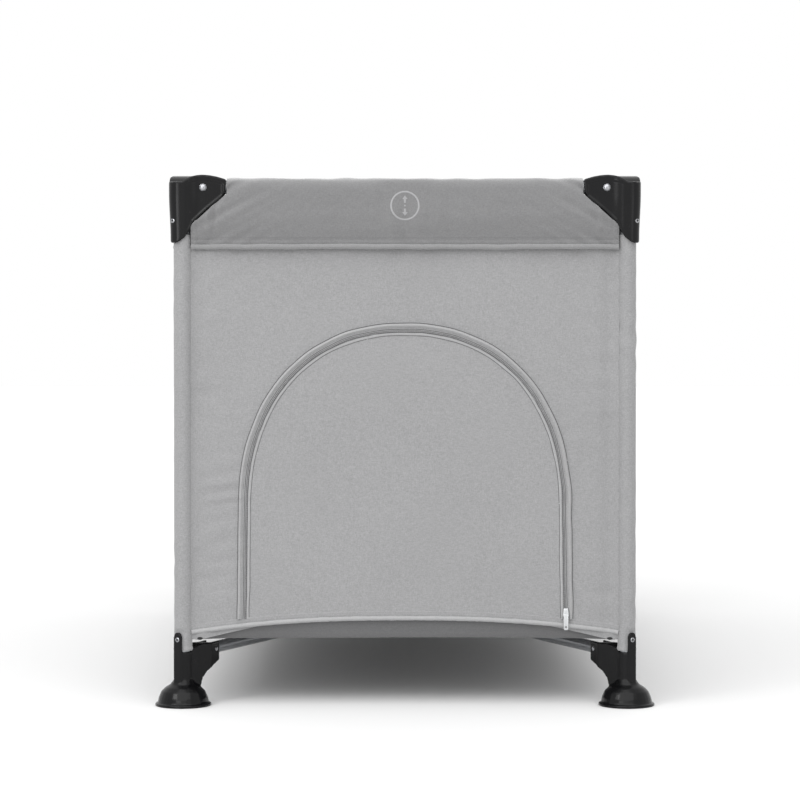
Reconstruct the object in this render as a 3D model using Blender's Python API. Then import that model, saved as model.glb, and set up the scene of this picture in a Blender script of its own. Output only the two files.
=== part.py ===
"""Folding playpen for a 60 x 120 cm mattress: steel frame, plastic corners and feet, fabric walls.

Frame: +Z up, origin on the floor at the middle of the plan. The short end with the zipped door
faces -Y, the long sides face -X and +X. Metres throughout.

The four legs stay upright while the frame folds. Each top rail breaks at a latch in its middle
and drops, and the hub under the floor rises on four diagonal bars. Every rail half and every bar
turns by the same angle, because the fixed lengths at both ends of a rail half add up to the fixed
lengths at both ends of a floor bar.
"""
import math

import bmesh
import bpy
from mathutils import Matrix, Vector

# Driving sizes of the whole pen
LEG_SPACING_X = 0.632
LEG_SPACING_Y = 1.232
HEIGHT = 0.755

# Gaps
SEAT_GAP = 0.0003
PIN_GAP = 0.0003
SWING_GAP = 0.0006

# Tubes
LEG_RADIUS = 0.011
RAIL_RADIUS = 0.009
BAR_RADIUS = 0.0085
TUBE_WALL = 0.0012
TUBE_TAIL = 0.006
PIN_RADIUS = 0.0025
TUBE_SIDES = 20
PIN_SIDES = 12
WELD_DISTANCE = 1e-6

# Fixed lengths between a leg and its pivots, and between a latch and its pivots
RAIL_PIVOT_INSET = 0.030
LATCH_PIVOT_REACH = 0.030
FOOT_PIVOT_INSET = 0.035
RAIL_TOP_DROP = 0.009
BAR_PIVOT_Z = 0.0766

# Corner caps
CORNER_SHELL = 0.0057
CORNER_INNER_WALL = 0.003
CORNER_ROUNDING = 0.013
WING_LENGTH = 0.062
WING_ROOF = 0.0018
CORNER_DEPTH = 0.097
LEG_TOP_COVER = 0.0135
CORNER_ROOF = 0.0035
# distance from the leg's axis and drop below the pen's top, along a wing's arched upper edge
WING_UPPER = ((0.001, 0.0092), (0.006, 0.0058), (0.013, 0.0024), (0.021, 0.0006), (0.029, 0.0),
              (0.039, 0.0007), (0.050, 0.0028), (WING_LENGTH, 0.0064))
# the same along its hollow lower edge, from the wing's tip to the foot of the cap
WING_LOWER = ((WING_LENGTH, 0.0160), (0.0605, 0.0255), (0.0560, 0.0335), (0.0460, 0.0415),
              (0.0345, 0.0510), (0.0240, 0.0605), (0.0150, 0.0690), (0.0102, 0.0790),
              (0.0040, 0.0885), (-0.0040, 0.0945))

# Rivets that carry the rails in the corner caps
RIVET_HEAD_RADIUS = 0.0053
RIVET_DOME = 0.0025
RIVET_TAIL_RADIUS = 0.004
RIVET_TAIL_HEIGHT = 0.0015

# Feet
FOOT_RADIUS = 0.040
FOOT_RIM = 0.0035
FOOT_DOME_RADIUS = 0.0365
FOOT_DOME_TOP = 0.037
SOCKET_WALL = 0.002
SOCKET_TOP = 0.077
SOCKET_FLOOR = 0.012
TAB_WIDTH = 0.0125
TAB_TURN = math.radians(60)
TAB_THICKNESS = 0.004
TAB_TOP = 0.105
ARM_CHEEK = 0.0026
ARM_END_REACH = 0.0085
ARM_TOP = 0.088
SLOT_BELOW = 0.0005
ARM_BOTTOM = 0.065
ARM_ROOT_Z = 0.028
ARM_ROOT_REACH = 0.009
ARM_END_ROUND = 0.006

# Rail latches and their buttons
LATCH_HALF_LENGTH = 0.045
LATCH_WALL = 0.0026
LATCH_FLOOR = 0.0026
LATCH_BLOCK_PROUD = 0.0033
LATCH_BLOCK_DEPTH = 0.042
BUTTON_RADIUS = 0.011
BUTTON_LENGTH = 0.009
BUTTON_PROUD = 0.001
BUTTON_POCKET = 0.0125
BUTTON_DROP = 0.026

# Hub under the floor, and the strap that pulls it up
HUB_RADIUS = 0.050
HUB_BELOW = 0.0125
HUB_ROOF = 0.0026
HUB_CHEEK = 0.005
STRAP_HALF_LENGTH = 0.040
STRAP_WIDTH = 0.022
STRAP_THICKNESS = 0.0015
STRAP_RISE = 0.0050

# Fabric walls, floor and mattress
WALL_THICKNESS = 0.003
WALL_OUTSET = 0.004
WALL_LEG_GAP = 0.0035
WALL_TOP_DROP = 0.072
WALL_EDGE_LOW = 0.105
WALL_EDGE_RISE = 0.0205
WALL_EDGE_POWER = 2.4
EDGE_BAND = 0.008
COVER_THICKNESS = 0.0025
COVER_DEPTH = 0.102
COVER_TOP_DROP = 0.0035
COVER_BUTTON_GAP = 0.0005
COVER_WING_GAP = 0.0015
FLOOR_Z = 0.0945
FLOOR_THICKNESS = 0.002
FLOOR_LEG_GAP = 0.003
FLOOR_SLOT_GAP = 0.006
MATTRESS_Z = 0.100
MATTRESS_THICKNESS = 0.021
MATTRESS_SIDE_GAP = 0.0185
MATTRESS_END_GAP = 0.021
MATTRESS_PANELS = 4
MATTRESS_SEAM = 0.0006
MATTRESS_EDGE = 0.006

# Zipped door in the front wall
DOOR_HALF_WIDTH = 0.2285
DOOR_ARCH_CENTRE = 0.280
DOOR_ARCH_RISE = 0.2560
DOOR_ARCH_POWER = 2.2
DOOR_ARCH_STEPS = 24
DOOR_FLARE = 0.002
DOOR_GAP = 0.001
SLIDER_SIZE = (0.009, 0.0045, 0.013)
SLIDER_Z = 0.126
PULL_SIZE = (0.0065, 0.0014, 0.023)
PULL_HOLE_RADIUS = 0.0015

# Values that follow from the sizes above
HALF_X = LEG_SPACING_X / 2
HALF_Y = LEG_SPACING_Y / 2
RAIL_Z = HEIGHT - RAIL_TOP_DROP - RAIL_RADIUS
LEG_TOP = HEIGHT - LEG_TOP_COVER
RAIL_SPAN_X = HALF_X - RAIL_PIVOT_INSET - LATCH_PIVOT_REACH
RAIL_SPAN_Y = HALF_Y - RAIL_PIVOT_INSET - LATCH_PIVOT_REACH
HUB_PIVOT_REACH = RAIL_PIVOT_INSET + LATCH_PIVOT_REACH - FOOT_PIVOT_INSET
BAR_SPAN = math.hypot(RAIL_SPAN_X, RAIL_SPAN_Y)
BAR_ALONG = Vector((RAIL_SPAN_X / BAR_SPAN, RAIL_SPAN_Y / BAR_SPAN, 0.0))
RAIL_SWING = math.hypot(TUBE_TAIL, RAIL_RADIUS) + SWING_GAP
BAR_SWING = math.hypot(TUBE_TAIL, BAR_RADIUS) + SWING_GAP
CORNER_REACH = LEG_RADIUS + SEAT_GAP + CORNER_SHELL
CHANNEL_HALF = RAIL_RADIUS + SWING_GAP
BAR_SLOT_HALF = BAR_RADIUS + SWING_GAP
SOCKET_RADIUS = LEG_RADIUS + SEAT_GAP + SOCKET_WALL
LATCH_BLOCK_FRONT = CHANNEL_HALF + LATCH_WALL + LATCH_BLOCK_PROUD
COVER_HALF_DEPTH = LATCH_BLOCK_FRONT + BUTTON_PROUD + COVER_BUTTON_GAP + COVER_THICKNESS
HUB_TOP = BAR_PIVOT_Z + BAR_SWING + HUB_ROOF
LATCH_BASE_Z = RAIL_Z - RAIL_SWING - LATCH_FLOOR

CORNERS = {
    "front_left": (-1, -1),
    "front_right": (1, -1),
    "rear_left": (-1, 1),
    "rear_right": (1, 1),
}
# side: (direction along the rail, direction out of the pen, names of the two ends)
SIDES = {
    "front": (Vector((1, 0, 0)), Vector((0, -1, 0)), ("left", "right")),
    "rear": (Vector((1, 0, 0)), Vector((0, 1, 0)), ("left", "right")),
    "left": (Vector((0, 1, 0)), Vector((-1, 0, 0)), ("front", "rear")),
    "right": (Vector((0, 1, 0)), Vector((1, 0, 0)), ("front", "rear")),
}

FINISHES = {
    "leg_paint": ((0.30, 0.31, 0.32), 0.35, 0.9),
    "bar_paint": ((0.33, 0.34, 0.35), 0.40, 0.9),
    "black_plastic": ((0.012, 0.012, 0.013), 0.25, 0.0),
    "chrome": ((0.75, 0.76, 0.78), 0.12, 1.0),
    "grey_fabric": ((0.36, 0.36, 0.365), 0.9, 0.0),
    "cover_fabric": ((0.24, 0.24, 0.245), 0.85, 0.0),
    "mesh_fabric": ((0.42, 0.42, 0.43), 0.8, 0.0),
    "floor_fabric": ((0.12, 0.12, 0.125), 0.9, 0.0),
    "mattress_fabric": ((0.45, 0.45, 0.46), 0.9, 0.0),
    "strap_web": ((0.03, 0.03, 0.032), 0.8, 0.0),
    "zip_plastic": ((0.20, 0.20, 0.21), 0.45, 0.0),
}


# ---------------------------------------------------------------- mesh helpers

def new_object(name, mesh_maker):
    """Make an object at the world origin from a bmesh, with every face pointing out."""
    mesh_maker.normal_update()
    bmesh.ops.recalc_face_normals(mesh_maker, faces=mesh_maker.faces)
    mesh = bpy.data.meshes.new(name)
    mesh_maker.to_mesh(mesh)
    mesh_maker.free()
    item = bpy.data.objects.new(name, mesh)
    bpy.context.scene.collection.objects.link(item)
    return item


def prism(name, outline, axis, low, high):
    """Extrude a closed outline along X, Y or Z; its pairs are the other two axes in order."""
    def corner(pair, depth):
        values = list(pair)
        values.insert("xyz".index(axis), depth)
        return Vector(values)

    maker = bmesh.new()
    lower = [maker.verts.new(corner(pair, low)) for pair in outline]
    upper = [maker.verts.new(corner(pair, high)) for pair in outline]
    maker.faces.new(lower)
    maker.faces.new(reversed(upper))
    for index in range(len(outline)):
        following = (index + 1) % len(outline)
        maker.faces.new((lower[index], upper[index], upper[following], lower[following]))
    return new_object(name, maker)


def box(name, low, high):
    """Box between two opposite corners."""
    outline = [(low[0], low[1]), (high[0], low[1]), (high[0], high[1]), (low[0], high[1])]
    return prism(name, outline, "z", low[2], high[2])


def rod(name, start, end, radius, sides):
    """Solid cylinder from start to end."""
    start = Vector(start)
    end = Vector(end)
    along = end - start
    place = Matrix.Translation((start + end) / 2) @ along.to_track_quat("Z", "Y").to_matrix().to_4x4()
    maker = bmesh.new()
    bmesh.ops.create_cone(maker, cap_ends=True, segments=sides, radius1=radius, radius2=radius,
                          depth=along.length, matrix=place)
    return new_object(name, maker)


def turned(name, profile, sides):
    """Solid turned about Z from (radius, height) pairs that start and end on the axis."""
    maker = bmesh.new()
    points = [maker.verts.new((radius, 0.0, height)) for radius, height in profile]
    edges = [maker.edges.new(pair) for pair in zip(points, points[1:])]
    bmesh.ops.spin(maker, geom=points + edges, cent=(0, 0, 0), axis=(0, 0, 1), dvec=(0, 0, 0),
                   angle=2 * math.pi, steps=sides, use_merge=True)
    bmesh.ops.remove_doubles(maker, verts=maker.verts, dist=WELD_DISTANCE)
    return new_object(name, maker)


def combine(base, tool, operation):
    """Apply an exact Boolean to base and remove the tool."""
    step = base.modifiers.new("shape", "BOOLEAN")
    step.operation = operation
    step.solver = "EXACT"
    step.object = tool
    graph = bpy.context.evaluated_depsgraph_get()
    result = bpy.data.meshes.new_from_object(base.evaluated_get(graph))
    maker = bmesh.new()
    maker.from_mesh(result)
    bmesh.ops.remove_doubles(maker, verts=maker.verts, dist=WELD_DISTANCE)
    maker.to_mesh(result)
    maker.free()
    base.modifiers.clear()
    old = base.data
    base.data = result
    bpy.data.meshes.remove(old)
    used = tool.data
    bpy.data.objects.remove(tool)
    bpy.data.meshes.remove(used)
    return base


def cut(base, tool):
    """Take the tool's space out of base."""
    return combine(base, tool, "DIFFERENCE")


def join(base, tool):
    """Fuse the tool with base."""
    return combine(base, tool, "UNION")


def keep(base, tool):
    """Keep only what base and the tool share."""
    return combine(base, tool, "INTERSECT")


def reshape(item, matrix):
    """Move the mesh itself, keeping its faces outward when the matrix mirrors it."""
    item.data.transform(matrix)
    if matrix.determinant() < 0:
        item.data.flip_normals()
    return item


def local_frame(origin, first, second):
    """Matrix whose local x is first, local y is second and local z is up."""
    matrix = Matrix.Identity(4)
    matrix.col[0] = Vector((*first, 0.0))
    matrix.col[1] = Vector((*second, 0.0))
    matrix.col[3] = Vector((*origin, 1.0))
    return matrix


def finish_material(finish):
    """Principled material of a finish, made once."""
    found = bpy.data.materials.get(finish)
    if found:
        return found
    colour, roughness, metallic = FINISHES[finish]
    material = bpy.data.materials.new(finish)
    material.use_nodes = True
    shader = material.node_tree.nodes["Principled BSDF"]
    shader.inputs["Base Color"].default_value = (*colour, 1.0)
    shader.inputs["Roughness"].default_value = roughness
    shader.inputs["Metallic"].default_value = metallic
    material.diffuse_color = (*colour, 1.0)
    return material


def settle(item, name, pivot, finish, root, smooth=True):
    """Name a piece, put its origin on its joint or seat, and hang it on the pen's empty."""
    item.name = name
    item.data.name = name
    item.data.transform(Matrix.Translation(-Vector(pivot)))
    item.location = pivot
    item.parent = root
    item.data.materials.clear()
    item.data.materials.append(finish_material(finish))
    if smooth:
        item.data.shade_smooth()
        item.data.set_sharp_from_angle(angle=math.radians(35))
    return item


def tube(name, start, end, radius, pivots, pin_along):
    """Round tube with a cross hole for a pin at each pivot."""
    body = rod(name, start, end, radius, TUBE_SIDES)
    along = (Vector(end) - Vector(start)).normalized() * TUBE_TAIL
    bore = rod("bore", Vector(start) - along, Vector(end) + along, radius - TUBE_WALL, TUBE_SIDES)
    cut(body, bore)
    for pivot in pivots:
        reach = Vector(pin_along) * radius * 2
        hole = rod("hole", pivot - reach, pivot + reach, PIN_RADIUS + PIN_GAP, PIN_SIDES)
        cut(body, hole)
    return body


# ---------------------------------------------------------------- places

def leg_point(corner, height=0.0):
    """Point on a leg's axis."""
    sign_x, sign_y = CORNERS[corner]
    return Vector((sign_x * HALF_X, sign_y * HALF_Y, height))


def bar_frame(corner):
    """Start, end and direction of a floor bar, from its foot's pivot to the hub's pivot."""
    sign_x, sign_y = CORNERS[corner]
    along = Vector((-sign_x * BAR_ALONG.x, -sign_y * BAR_ALONG.y, 0.0))
    inset = Vector((-sign_x * FOOT_PIVOT_INSET, -sign_y * FOOT_PIVOT_INSET, BAR_PIVOT_Z))
    start = leg_point(corner) + inset
    return start, start + along * BAR_SPAN, along


def side_span(side):
    """Distance from a side's middle to its legs, and the length of one rail half."""
    if side in ("front", "rear"):
        return HALF_X, RAIL_SPAN_X
    return HALF_Y, RAIL_SPAN_Y


def side_frame(side):
    """Matrix of a side: local x along it, local y out of the pen, origin on the floor below it."""
    along, out, _ = SIDES[side]
    reach = HALF_Y if side in ("front", "rear") else HALF_X
    return local_frame(out * reach, along, out)


# ---------------------------------------------------------------- frame pieces

def build_leg(corner, root):
    """Upright tube between a foot and a corner cap."""
    start = leg_point(corner, SOCKET_FLOOR + SEAT_GAP)
    end = leg_point(corner, LEG_TOP - SEAT_GAP)
    body = tube("leg", start, end, LEG_RADIUS, [], (1, 0, 0))
    return settle(body, "leg_" + corner, start, "leg_paint", root)


def wing_outline():
    """Side view of one wing of a corner cap, (distance from the leg, height) pairs."""
    outer = -CORNER_REACH
    tip = HEIGHT - CORNER_DEPTH
    shoulder = LEG_TOP + CORNER_ROOF
    upper = [(at, HEIGHT - drop) for at, drop in WING_UPPER]
    lower = [(at, HEIGHT - drop) for at, drop in WING_LOWER]
    return [(outer * 0.6, tip), *reversed(lower), *reversed(upper), (outer * 0.65, shoulder),
            (outer * 0.9, shoulder - 0.0025), (outer, shoulder - 0.008), (outer, tip + 0.010),
            (outer * 0.88, tip + 0.003)]


def wing_limit():
    """Side view of all that lies above a wing's lower edge, past the cap on every other side."""
    past = 0.01
    lower = [(at, HEIGHT - drop) for at, drop in reversed(WING_LOWER)]
    tip = HEIGHT - CORNER_DEPTH
    return [(-CORNER_REACH - past, tip), (-CORNER_REACH * 0.6, tip), *lower,
            (WING_LENGTH + past, lower[-1][1]), (WING_LENGTH + past, HEIGHT + past),
            (-CORNER_REACH - past, HEIGHT + past)]


def wing_roof(at):
    """Height of the underside of a wing's roof, at a distance from the leg."""
    for (near, near_drop), (far, far_drop) in zip(WING_UPPER, WING_UPPER[1:]):
        if at <= far:
            break
    drop = near_drop + (far_drop - near_drop) * (at - near) / (far - near)
    return HEIGHT - drop - WING_ROOF


def channel_outline():
    """Side view of the space that the rail swings in, open below and at the wing's end."""
    beyond = WING_LENGTH + 0.01
    start = RAIL_PIVOT_INSET - RAIL_SWING
    below = HEIGHT - CORNER_DEPTH - 0.01
    middle = (start + WING_LENGTH) / 2
    return [(start, below), (beyond, below), (beyond, wing_roof(beyond)), (middle, wing_roof(middle)),
            (start, wing_roof(start))]


def swap_plan():
    """Matrix that swaps the two plan axes."""
    return Matrix(((0, 1, 0, 0), (1, 0, 0, 0), (0, 0, 1, 0), (0, 0, 0, 1)))


def build_corner(corner, root):
    """Plastic cap over a leg's top, with an open-bottomed wing over the end of each rail."""
    outline = wing_outline()
    inner = CHANNEL_HALF + CORNER_INNER_WALL
    first = prism("wing", outline, "y", -CORNER_REACH, inner)
    second = reshape(prism("wing", outline, "y", -CORNER_REACH, inner), swap_plan())
    past = CORNER_REACH + 0.01
    limit_first = reshape(prism("limit", wing_limit(), "y", -past, WING_LENGTH + 0.01), swap_plan())
    limit_second = prism("limit", wing_limit(), "y", -past, WING_LENGTH + 0.01)
    keep(first, limit_first)
    keep(second, limit_second)
    join(first, second)
    rounding = []
    for step in range(7):
        turn = math.pi + math.pi / 2 * step / 6
        middle = CORNER_ROUNDING - CORNER_REACH
        rounding.append((middle + CORNER_ROUNDING * math.cos(turn),
                         middle + CORNER_ROUNDING * math.sin(turn)))
    past = WING_LENGTH + 0.01
    plan = [*rounding, (past, -CORNER_REACH), (past, past), (-CORNER_REACH, past)]
    keep(first, prism("plan", plan, "z", HEIGHT - CORNER_DEPTH - 0.01, HEIGHT + 0.01))
    cut(first, prism("channel", channel_outline(), "y", -CHANNEL_HALF, CHANNEL_HALF))
    cut(first, reshape(prism("channel", channel_outline(), "y", -CHANNEL_HALF, CHANNEL_HALF),
                       swap_plan()))
    cut(first, rod("bore", (0, 0, 0), (0, 0, LEG_TOP), LEG_RADIUS + SEAT_GAP, TUBE_SIDES))
    far = CORNER_REACH * 2
    hole_radius = PIN_RADIUS + PIN_GAP
    cut(first, rod("hole", (RAIL_PIVOT_INSET, -far, RAIL_Z), (RAIL_PIVOT_INSET, far, RAIL_Z),
                   hole_radius, PIN_SIDES))
    cut(first, rod("hole", (-far, RAIL_PIVOT_INSET, RAIL_Z), (far, RAIL_PIVOT_INSET, RAIL_Z),
                   hole_radius, PIN_SIDES))
    sign_x, sign_y = CORNERS[corner]
    reshape(first, local_frame(leg_point(corner), (-sign_x, 0, 0), (0, -sign_y, 0)))
    return settle(first, "corner_" + corner, leg_point(corner, LEG_TOP), "black_plastic", root)


def build_rivet(side, end_index, root):
    """Domed rivet through a corner wing and the end of a rail half."""
    half, _ = side_span(side)
    inner = CHANNEL_HALF + CORNER_INNER_WALL + SEAT_GAP
    outer = CORNER_REACH + SEAT_GAP
    profile = [
        (0.0, outer + RIVET_DOME),
        (RIVET_HEAD_RADIUS * 0.6, outer + RIVET_DOME * 0.85),
        (RIVET_HEAD_RADIUS, outer),
        (PIN_RADIUS, outer),
        (PIN_RADIUS, -inner),
        (RIVET_TAIL_RADIUS, -inner),
        (RIVET_TAIL_RADIUS * 0.7, -inner - RIVET_TAIL_HEIGHT),
        (0.0, -inner - RIVET_TAIL_HEIGHT),
    ]
    body = turned("rivet", profile, PIN_SIDES)
    reshape(body, Matrix.Rotation(-math.pi / 2, 4, "X"))
    sign = (-1, 1)[end_index]
    place = Matrix.Translation((sign * (half - RAIL_PIVOT_INSET), 0, RAIL_Z))
    frame = side_frame(side)
    reshape(body, frame @ place)
    pivot = (frame @ place).translation
    name = "rail_rivet_{}_{}".format(side, SIDES[side][2][end_index])
    return settle(body, name, pivot, "chrome", root)


def build_rail_half(side, end_index, root):
    """Half of a top rail, from its corner rivet to its latch pin."""
    half, _ = side_span(side)
    along, out, ends = SIDES[side]
    sign = (-1, 1)[end_index]
    centre = side_frame(side).translation + Vector((0, 0, RAIL_Z))
    corner_pivot = centre + along * sign * (half - RAIL_PIVOT_INSET)
    latch_pivot = centre + along * sign * LATCH_PIVOT_REACH
    tail = along * sign * TUBE_TAIL
    body = tube("rail", latch_pivot - tail, corner_pivot + tail, RAIL_RADIUS,
                [latch_pivot, corner_pivot], out)
    driver = corner_pivot if end_index == 0 else latch_pivot
    return settle(body, "rail_{}_{}".format(side, ends[end_index]), driver, "bar_paint", root)


def build_latch(side, root):
    """Open-topped trough in the middle of a rail, with the pins of both halves."""
    inner = CHANNEL_HALF
    outer = inner + LATCH_WALL
    top = RAIL_Z + RAIL_RADIUS
    block_half = LATCH_PIVOT_REACH - RAIL_SWING
    block_base = RAIL_Z - LATCH_BLOCK_DEPTH
    side_view = [(-block_half, block_base), (block_half, block_base), (block_half, LATCH_BASE_Z),
                 (LATCH_HALF_LENGTH, LATCH_BASE_Z), (LATCH_HALF_LENGTH, top),
                 (-LATCH_HALF_LENGTH, top), (-LATCH_HALF_LENGTH, LATCH_BASE_Z),
                 (-block_half, LATCH_BASE_Z)]
    body = prism("latch", side_view, "y", -outer, LATCH_BLOCK_FRONT)
    for sign in (-1, 1):
        near = sign * block_half
        far = sign * (LATCH_HALF_LENGTH + 0.01)
        cut(body, box("trough", (min(near, far), -inner, LATCH_BASE_Z + LATCH_FLOOR),
                      (max(near, far), inner, top + 0.01)))
        cut(body, box("front", (min(near, far), outer, block_base - 0.01),
                      (max(near, far), LATCH_BLOCK_FRONT + 0.01, top + 0.01)))
    for sign in (-1, 1):
        at = sign * LATCH_PIVOT_REACH
        middle = inner + LATCH_WALL / 2
        join(body, rod("pin", (at, -middle, RAIL_Z), (at, middle, RAIL_Z), PIN_RADIUS, PIN_SIDES))
    button_z = RAIL_Z - BUTTON_DROP
    cut(body, rod("pocket", (0, LATCH_BLOCK_FRONT - BUTTON_POCKET, button_z),
                  (0, LATCH_BLOCK_FRONT + 0.01, button_z), BUTTON_RADIUS + SEAT_GAP, TUBE_SIDES))
    frame = side_frame(side)
    reshape(body, frame)
    pivot = frame @ Vector((-LATCH_PIVOT_REACH, 0, RAIL_Z))
    return settle(body, "latch_" + side, pivot, "black_plastic", root)


def build_button(side, root):
    """Round push button of a rail latch."""
    face = LATCH_BLOCK_FRONT + BUTTON_PROUD
    button_z = RAIL_Z - BUTTON_DROP
    profile = [(0.0, 0.0), (BUTTON_RADIUS - 0.001, 0.0), (BUTTON_RADIUS, -0.001),
               (BUTTON_RADIUS, -BUTTON_LENGTH), (0.0, -BUTTON_LENGTH)]
    body = turned("button", profile, TUBE_SIDES)
    reshape(body, Matrix.Rotation(-math.pi / 2, 4, "X"))
    place = side_frame(side) @ Matrix.Translation((0, face, button_z))
    reshape(body, place)
    return settle(body, "latch_button_" + side, place.translation, "black_plastic", root)


def build_foot(corner, root):
    """Domed foot with the leg's socket, an outer tab and the forked arm of the floor bar."""
    profile = [
        (0.0, 0.0),
        (FOOT_RADIUS, 0.0),
        (FOOT_RADIUS, FOOT_RIM),
        (FOOT_DOME_RADIUS, FOOT_RIM + 0.001),
        (FOOT_DOME_RADIUS * 0.96, FOOT_DOME_TOP * 0.32),
        (FOOT_DOME_RADIUS * 0.86, FOOT_DOME_TOP * 0.55),
        (FOOT_DOME_RADIUS * 0.70, FOOT_DOME_TOP * 0.70),
        (FOOT_DOME_RADIUS * 0.50, FOOT_DOME_TOP * 0.82),
        (SOCKET_RADIUS, FOOT_DOME_TOP),
        (SOCKET_RADIUS, SOCKET_TOP),
        (0.0, SOCKET_TOP),
    ]
    body = turned("foot", profile, 32)
    # local x and y point into the pen; the arm leaves along their diagonal
    pivot = Vector((FOOT_PIVOT_INSET, FOOT_PIVOT_INSET, BAR_PIVOT_Z))
    across = Vector((-BAR_ALONG.y, BAR_ALONG.x, 0.0))
    half = BAR_SLOT_HALF + ARM_CHEEK
    end = pivot + BAR_ALONG * ARM_END_REACH
    back = pivot - BAR_ALONG * (BAR_SWING + ARM_CHEEK)
    root_half = SOCKET_RADIUS * 0.62
    plan = [end - across * half, end + across * half, back + across * half,
            Vector((-root_half, root_half, 0)), Vector((root_half, -root_half, 0)),
            back - across * half]
    arm = prism("arm", [(point.x, point.y) for point in plan], "z", ARM_ROOT_Z, ARM_TOP)
    reach = end.length + half
    knee = reach - ARM_END_ROUND
    hollow = SOCKET_RADIUS + ARM_ROOT_REACH
    side_view = [(-0.002, ARM_ROOT_Z), (hollow, ARM_ROOT_Z)]
    for step in range(7):
        turn = math.pi / 2 * step / 6
        side_view.append((hollow + (knee - hollow) * (1 - math.cos(turn)),
                          ARM_ROOT_Z + (ARM_BOTTOM - ARM_ROOT_Z) * math.sin(turn)))
    side_view += [(reach, ARM_BOTTOM + ARM_END_ROUND), (reach, ARM_TOP - ARM_END_ROUND), (knee, ARM_TOP),
                  (SOCKET_RADIUS + 0.010, ARM_TOP - 0.001), (-0.002, SOCKET_TOP)]
    trim = prism("trim", side_view, "y", -reach, reach)
    reshape(trim, Matrix.Rotation(math.pi / 4, 4, "Z"))
    keep(arm, trim)
    join(body, arm)
    slot_frame = local_frame(pivot, BAR_ALONG, across)
    slot = box("slot", (-BAR_SWING, -BAR_SLOT_HALF, -BAR_SWING - SLOT_BELOW),
               (ARM_END_REACH + 0.01, BAR_SLOT_HALF, 0.03))
    reshape(slot, slot_frame)
    cut(body, slot)
    tab_at = SOCKET_RADIUS - SOCKET_WALL
    tab_view = [(-TAB_WIDTH / 2, FOOT_DOME_TOP - 0.01), (TAB_WIDTH / 2, FOOT_DOME_TOP - 0.01)]
    for step in range(9):
        turn = math.pi * step / 8
        tab_view.append((math.cos(turn) * TAB_WIDTH / 2,
                         TAB_TOP - TAB_WIDTH / 2 + math.sin(turn) * TAB_WIDTH / 2))
    tab = prism("tab", tab_view, "x", -tab_at - TAB_THICKNESS, -tab_at)
    reshape(tab, Matrix.Rotation(TAB_TURN, 4, "Z"))
    join(body, tab)
    cut(body, rod("bore", (0, 0, SOCKET_FLOOR), (0, 0, TAB_TOP + 0.01), LEG_RADIUS + SEAT_GAP,
                  TUBE_SIDES))
    pin_half = BAR_SLOT_HALF + ARM_CHEEK / 2
    join(body, rod("pin", pivot - across * pin_half, pivot + across * pin_half, PIN_RADIUS, PIN_SIDES))
    sign_x, sign_y = CORNERS[corner]
    reshape(body, local_frame(leg_point(corner), (-sign_x, 0, 0), (0, -sign_y, 0)))
    return settle(body, "foot_" + corner, leg_point(corner), "black_plastic", root)


def build_floor_bar(corner, root):
    """Diagonal tube from a foot's arm to the hub."""
    start, end, along = bar_frame(corner)
    across = Vector((-along.y, along.x, 0.0))
    tail = along * TUBE_TAIL
    body = tube("bar", start - tail, end + tail, BAR_RADIUS, [start, end], across)
    pivot = start if corner == "front_left" else end
    return settle(body, "floor_bar_" + corner, pivot, "bar_paint", root)


def build_hub(root):
    """Hub that the four floor bars meet in, open below so that they can hang down from it."""
    base = BAR_PIVOT_Z - HUB_BELOW
    body = rod("hub", (0, 0, base), (0, 0, HUB_TOP), HUB_RADIUS, 40)
    for corner in CORNERS:
        _, end, along = bar_frame(corner)
        across = Vector((-along.y, along.x, 0.0))
        slot = box("slot", (-HUB_RADIUS, -BAR_SLOT_HALF, -HUB_BELOW - 0.01),
                   (BAR_SWING, BAR_SLOT_HALF, BAR_SWING))
        cut(body, reshape(slot, local_frame(end, along, across)))
    for corner in CORNERS:
        _, end, along = bar_frame(corner)
        across = Vector((-along.y, along.x, 0.0)) * (BAR_SLOT_HALF + HUB_CHEEK)
        join(body, rod("pin", end - across, end + across, PIN_RADIUS, PIN_SIDES))
    _, pivot, _ = bar_frame("front_left")
    return settle(body, "floor_hub", pivot, "black_plastic", root)


def build_strap(root):
    """Webbing loop on the hub, pulled up through the floor to fold the pen."""
    base = HUB_TOP + SEAT_GAP
    outer = []
    inner = []
    for step in range(9):
        part = step / 8
        at = STRAP_HALF_LENGTH * (2 * part - 1)
        rise = STRAP_RISE * math.sin(math.pi * part) ** 2
        outer.append((at, base + rise + STRAP_THICKNESS))
        inner.append((at, base + rise))
    body = prism("strap", [*outer, *reversed(inner)], "y", -STRAP_WIDTH / 2, STRAP_WIDTH / 2)
    return settle(body, "fold_strap", (0, 0, base), "strap_web", root)


# ---------------------------------------------------------------- fabric pieces

def wall_half(side):
    """Half the width of a fabric wall, from the middle of a side to its leg sleeves."""
    half, _ = side_span(side)
    return half - LEG_RADIUS - WALL_LEG_GAP


def edge_height(side, at):
    """Height of a wall's lower edge, which arches up from the legs to the middle."""
    share = min(abs(at) / wall_half(side), 1.0)
    return WALL_EDGE_LOW + WALL_EDGE_RISE * (1 - share ** WALL_EDGE_POWER)


def wall_outline(side):
    """Outline of a fabric wall, (distance from the middle, height) pairs."""
    half = wall_half(side)
    steps = 12
    lower = [half * (2 * step / steps - 1) for step in range(steps + 1)]
    return [*((at, edge_height(side, at)) for at in lower), (half, HEIGHT - WALL_TOP_DROP),
            (-half, HEIGHT - WALL_TOP_DROP)]


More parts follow.
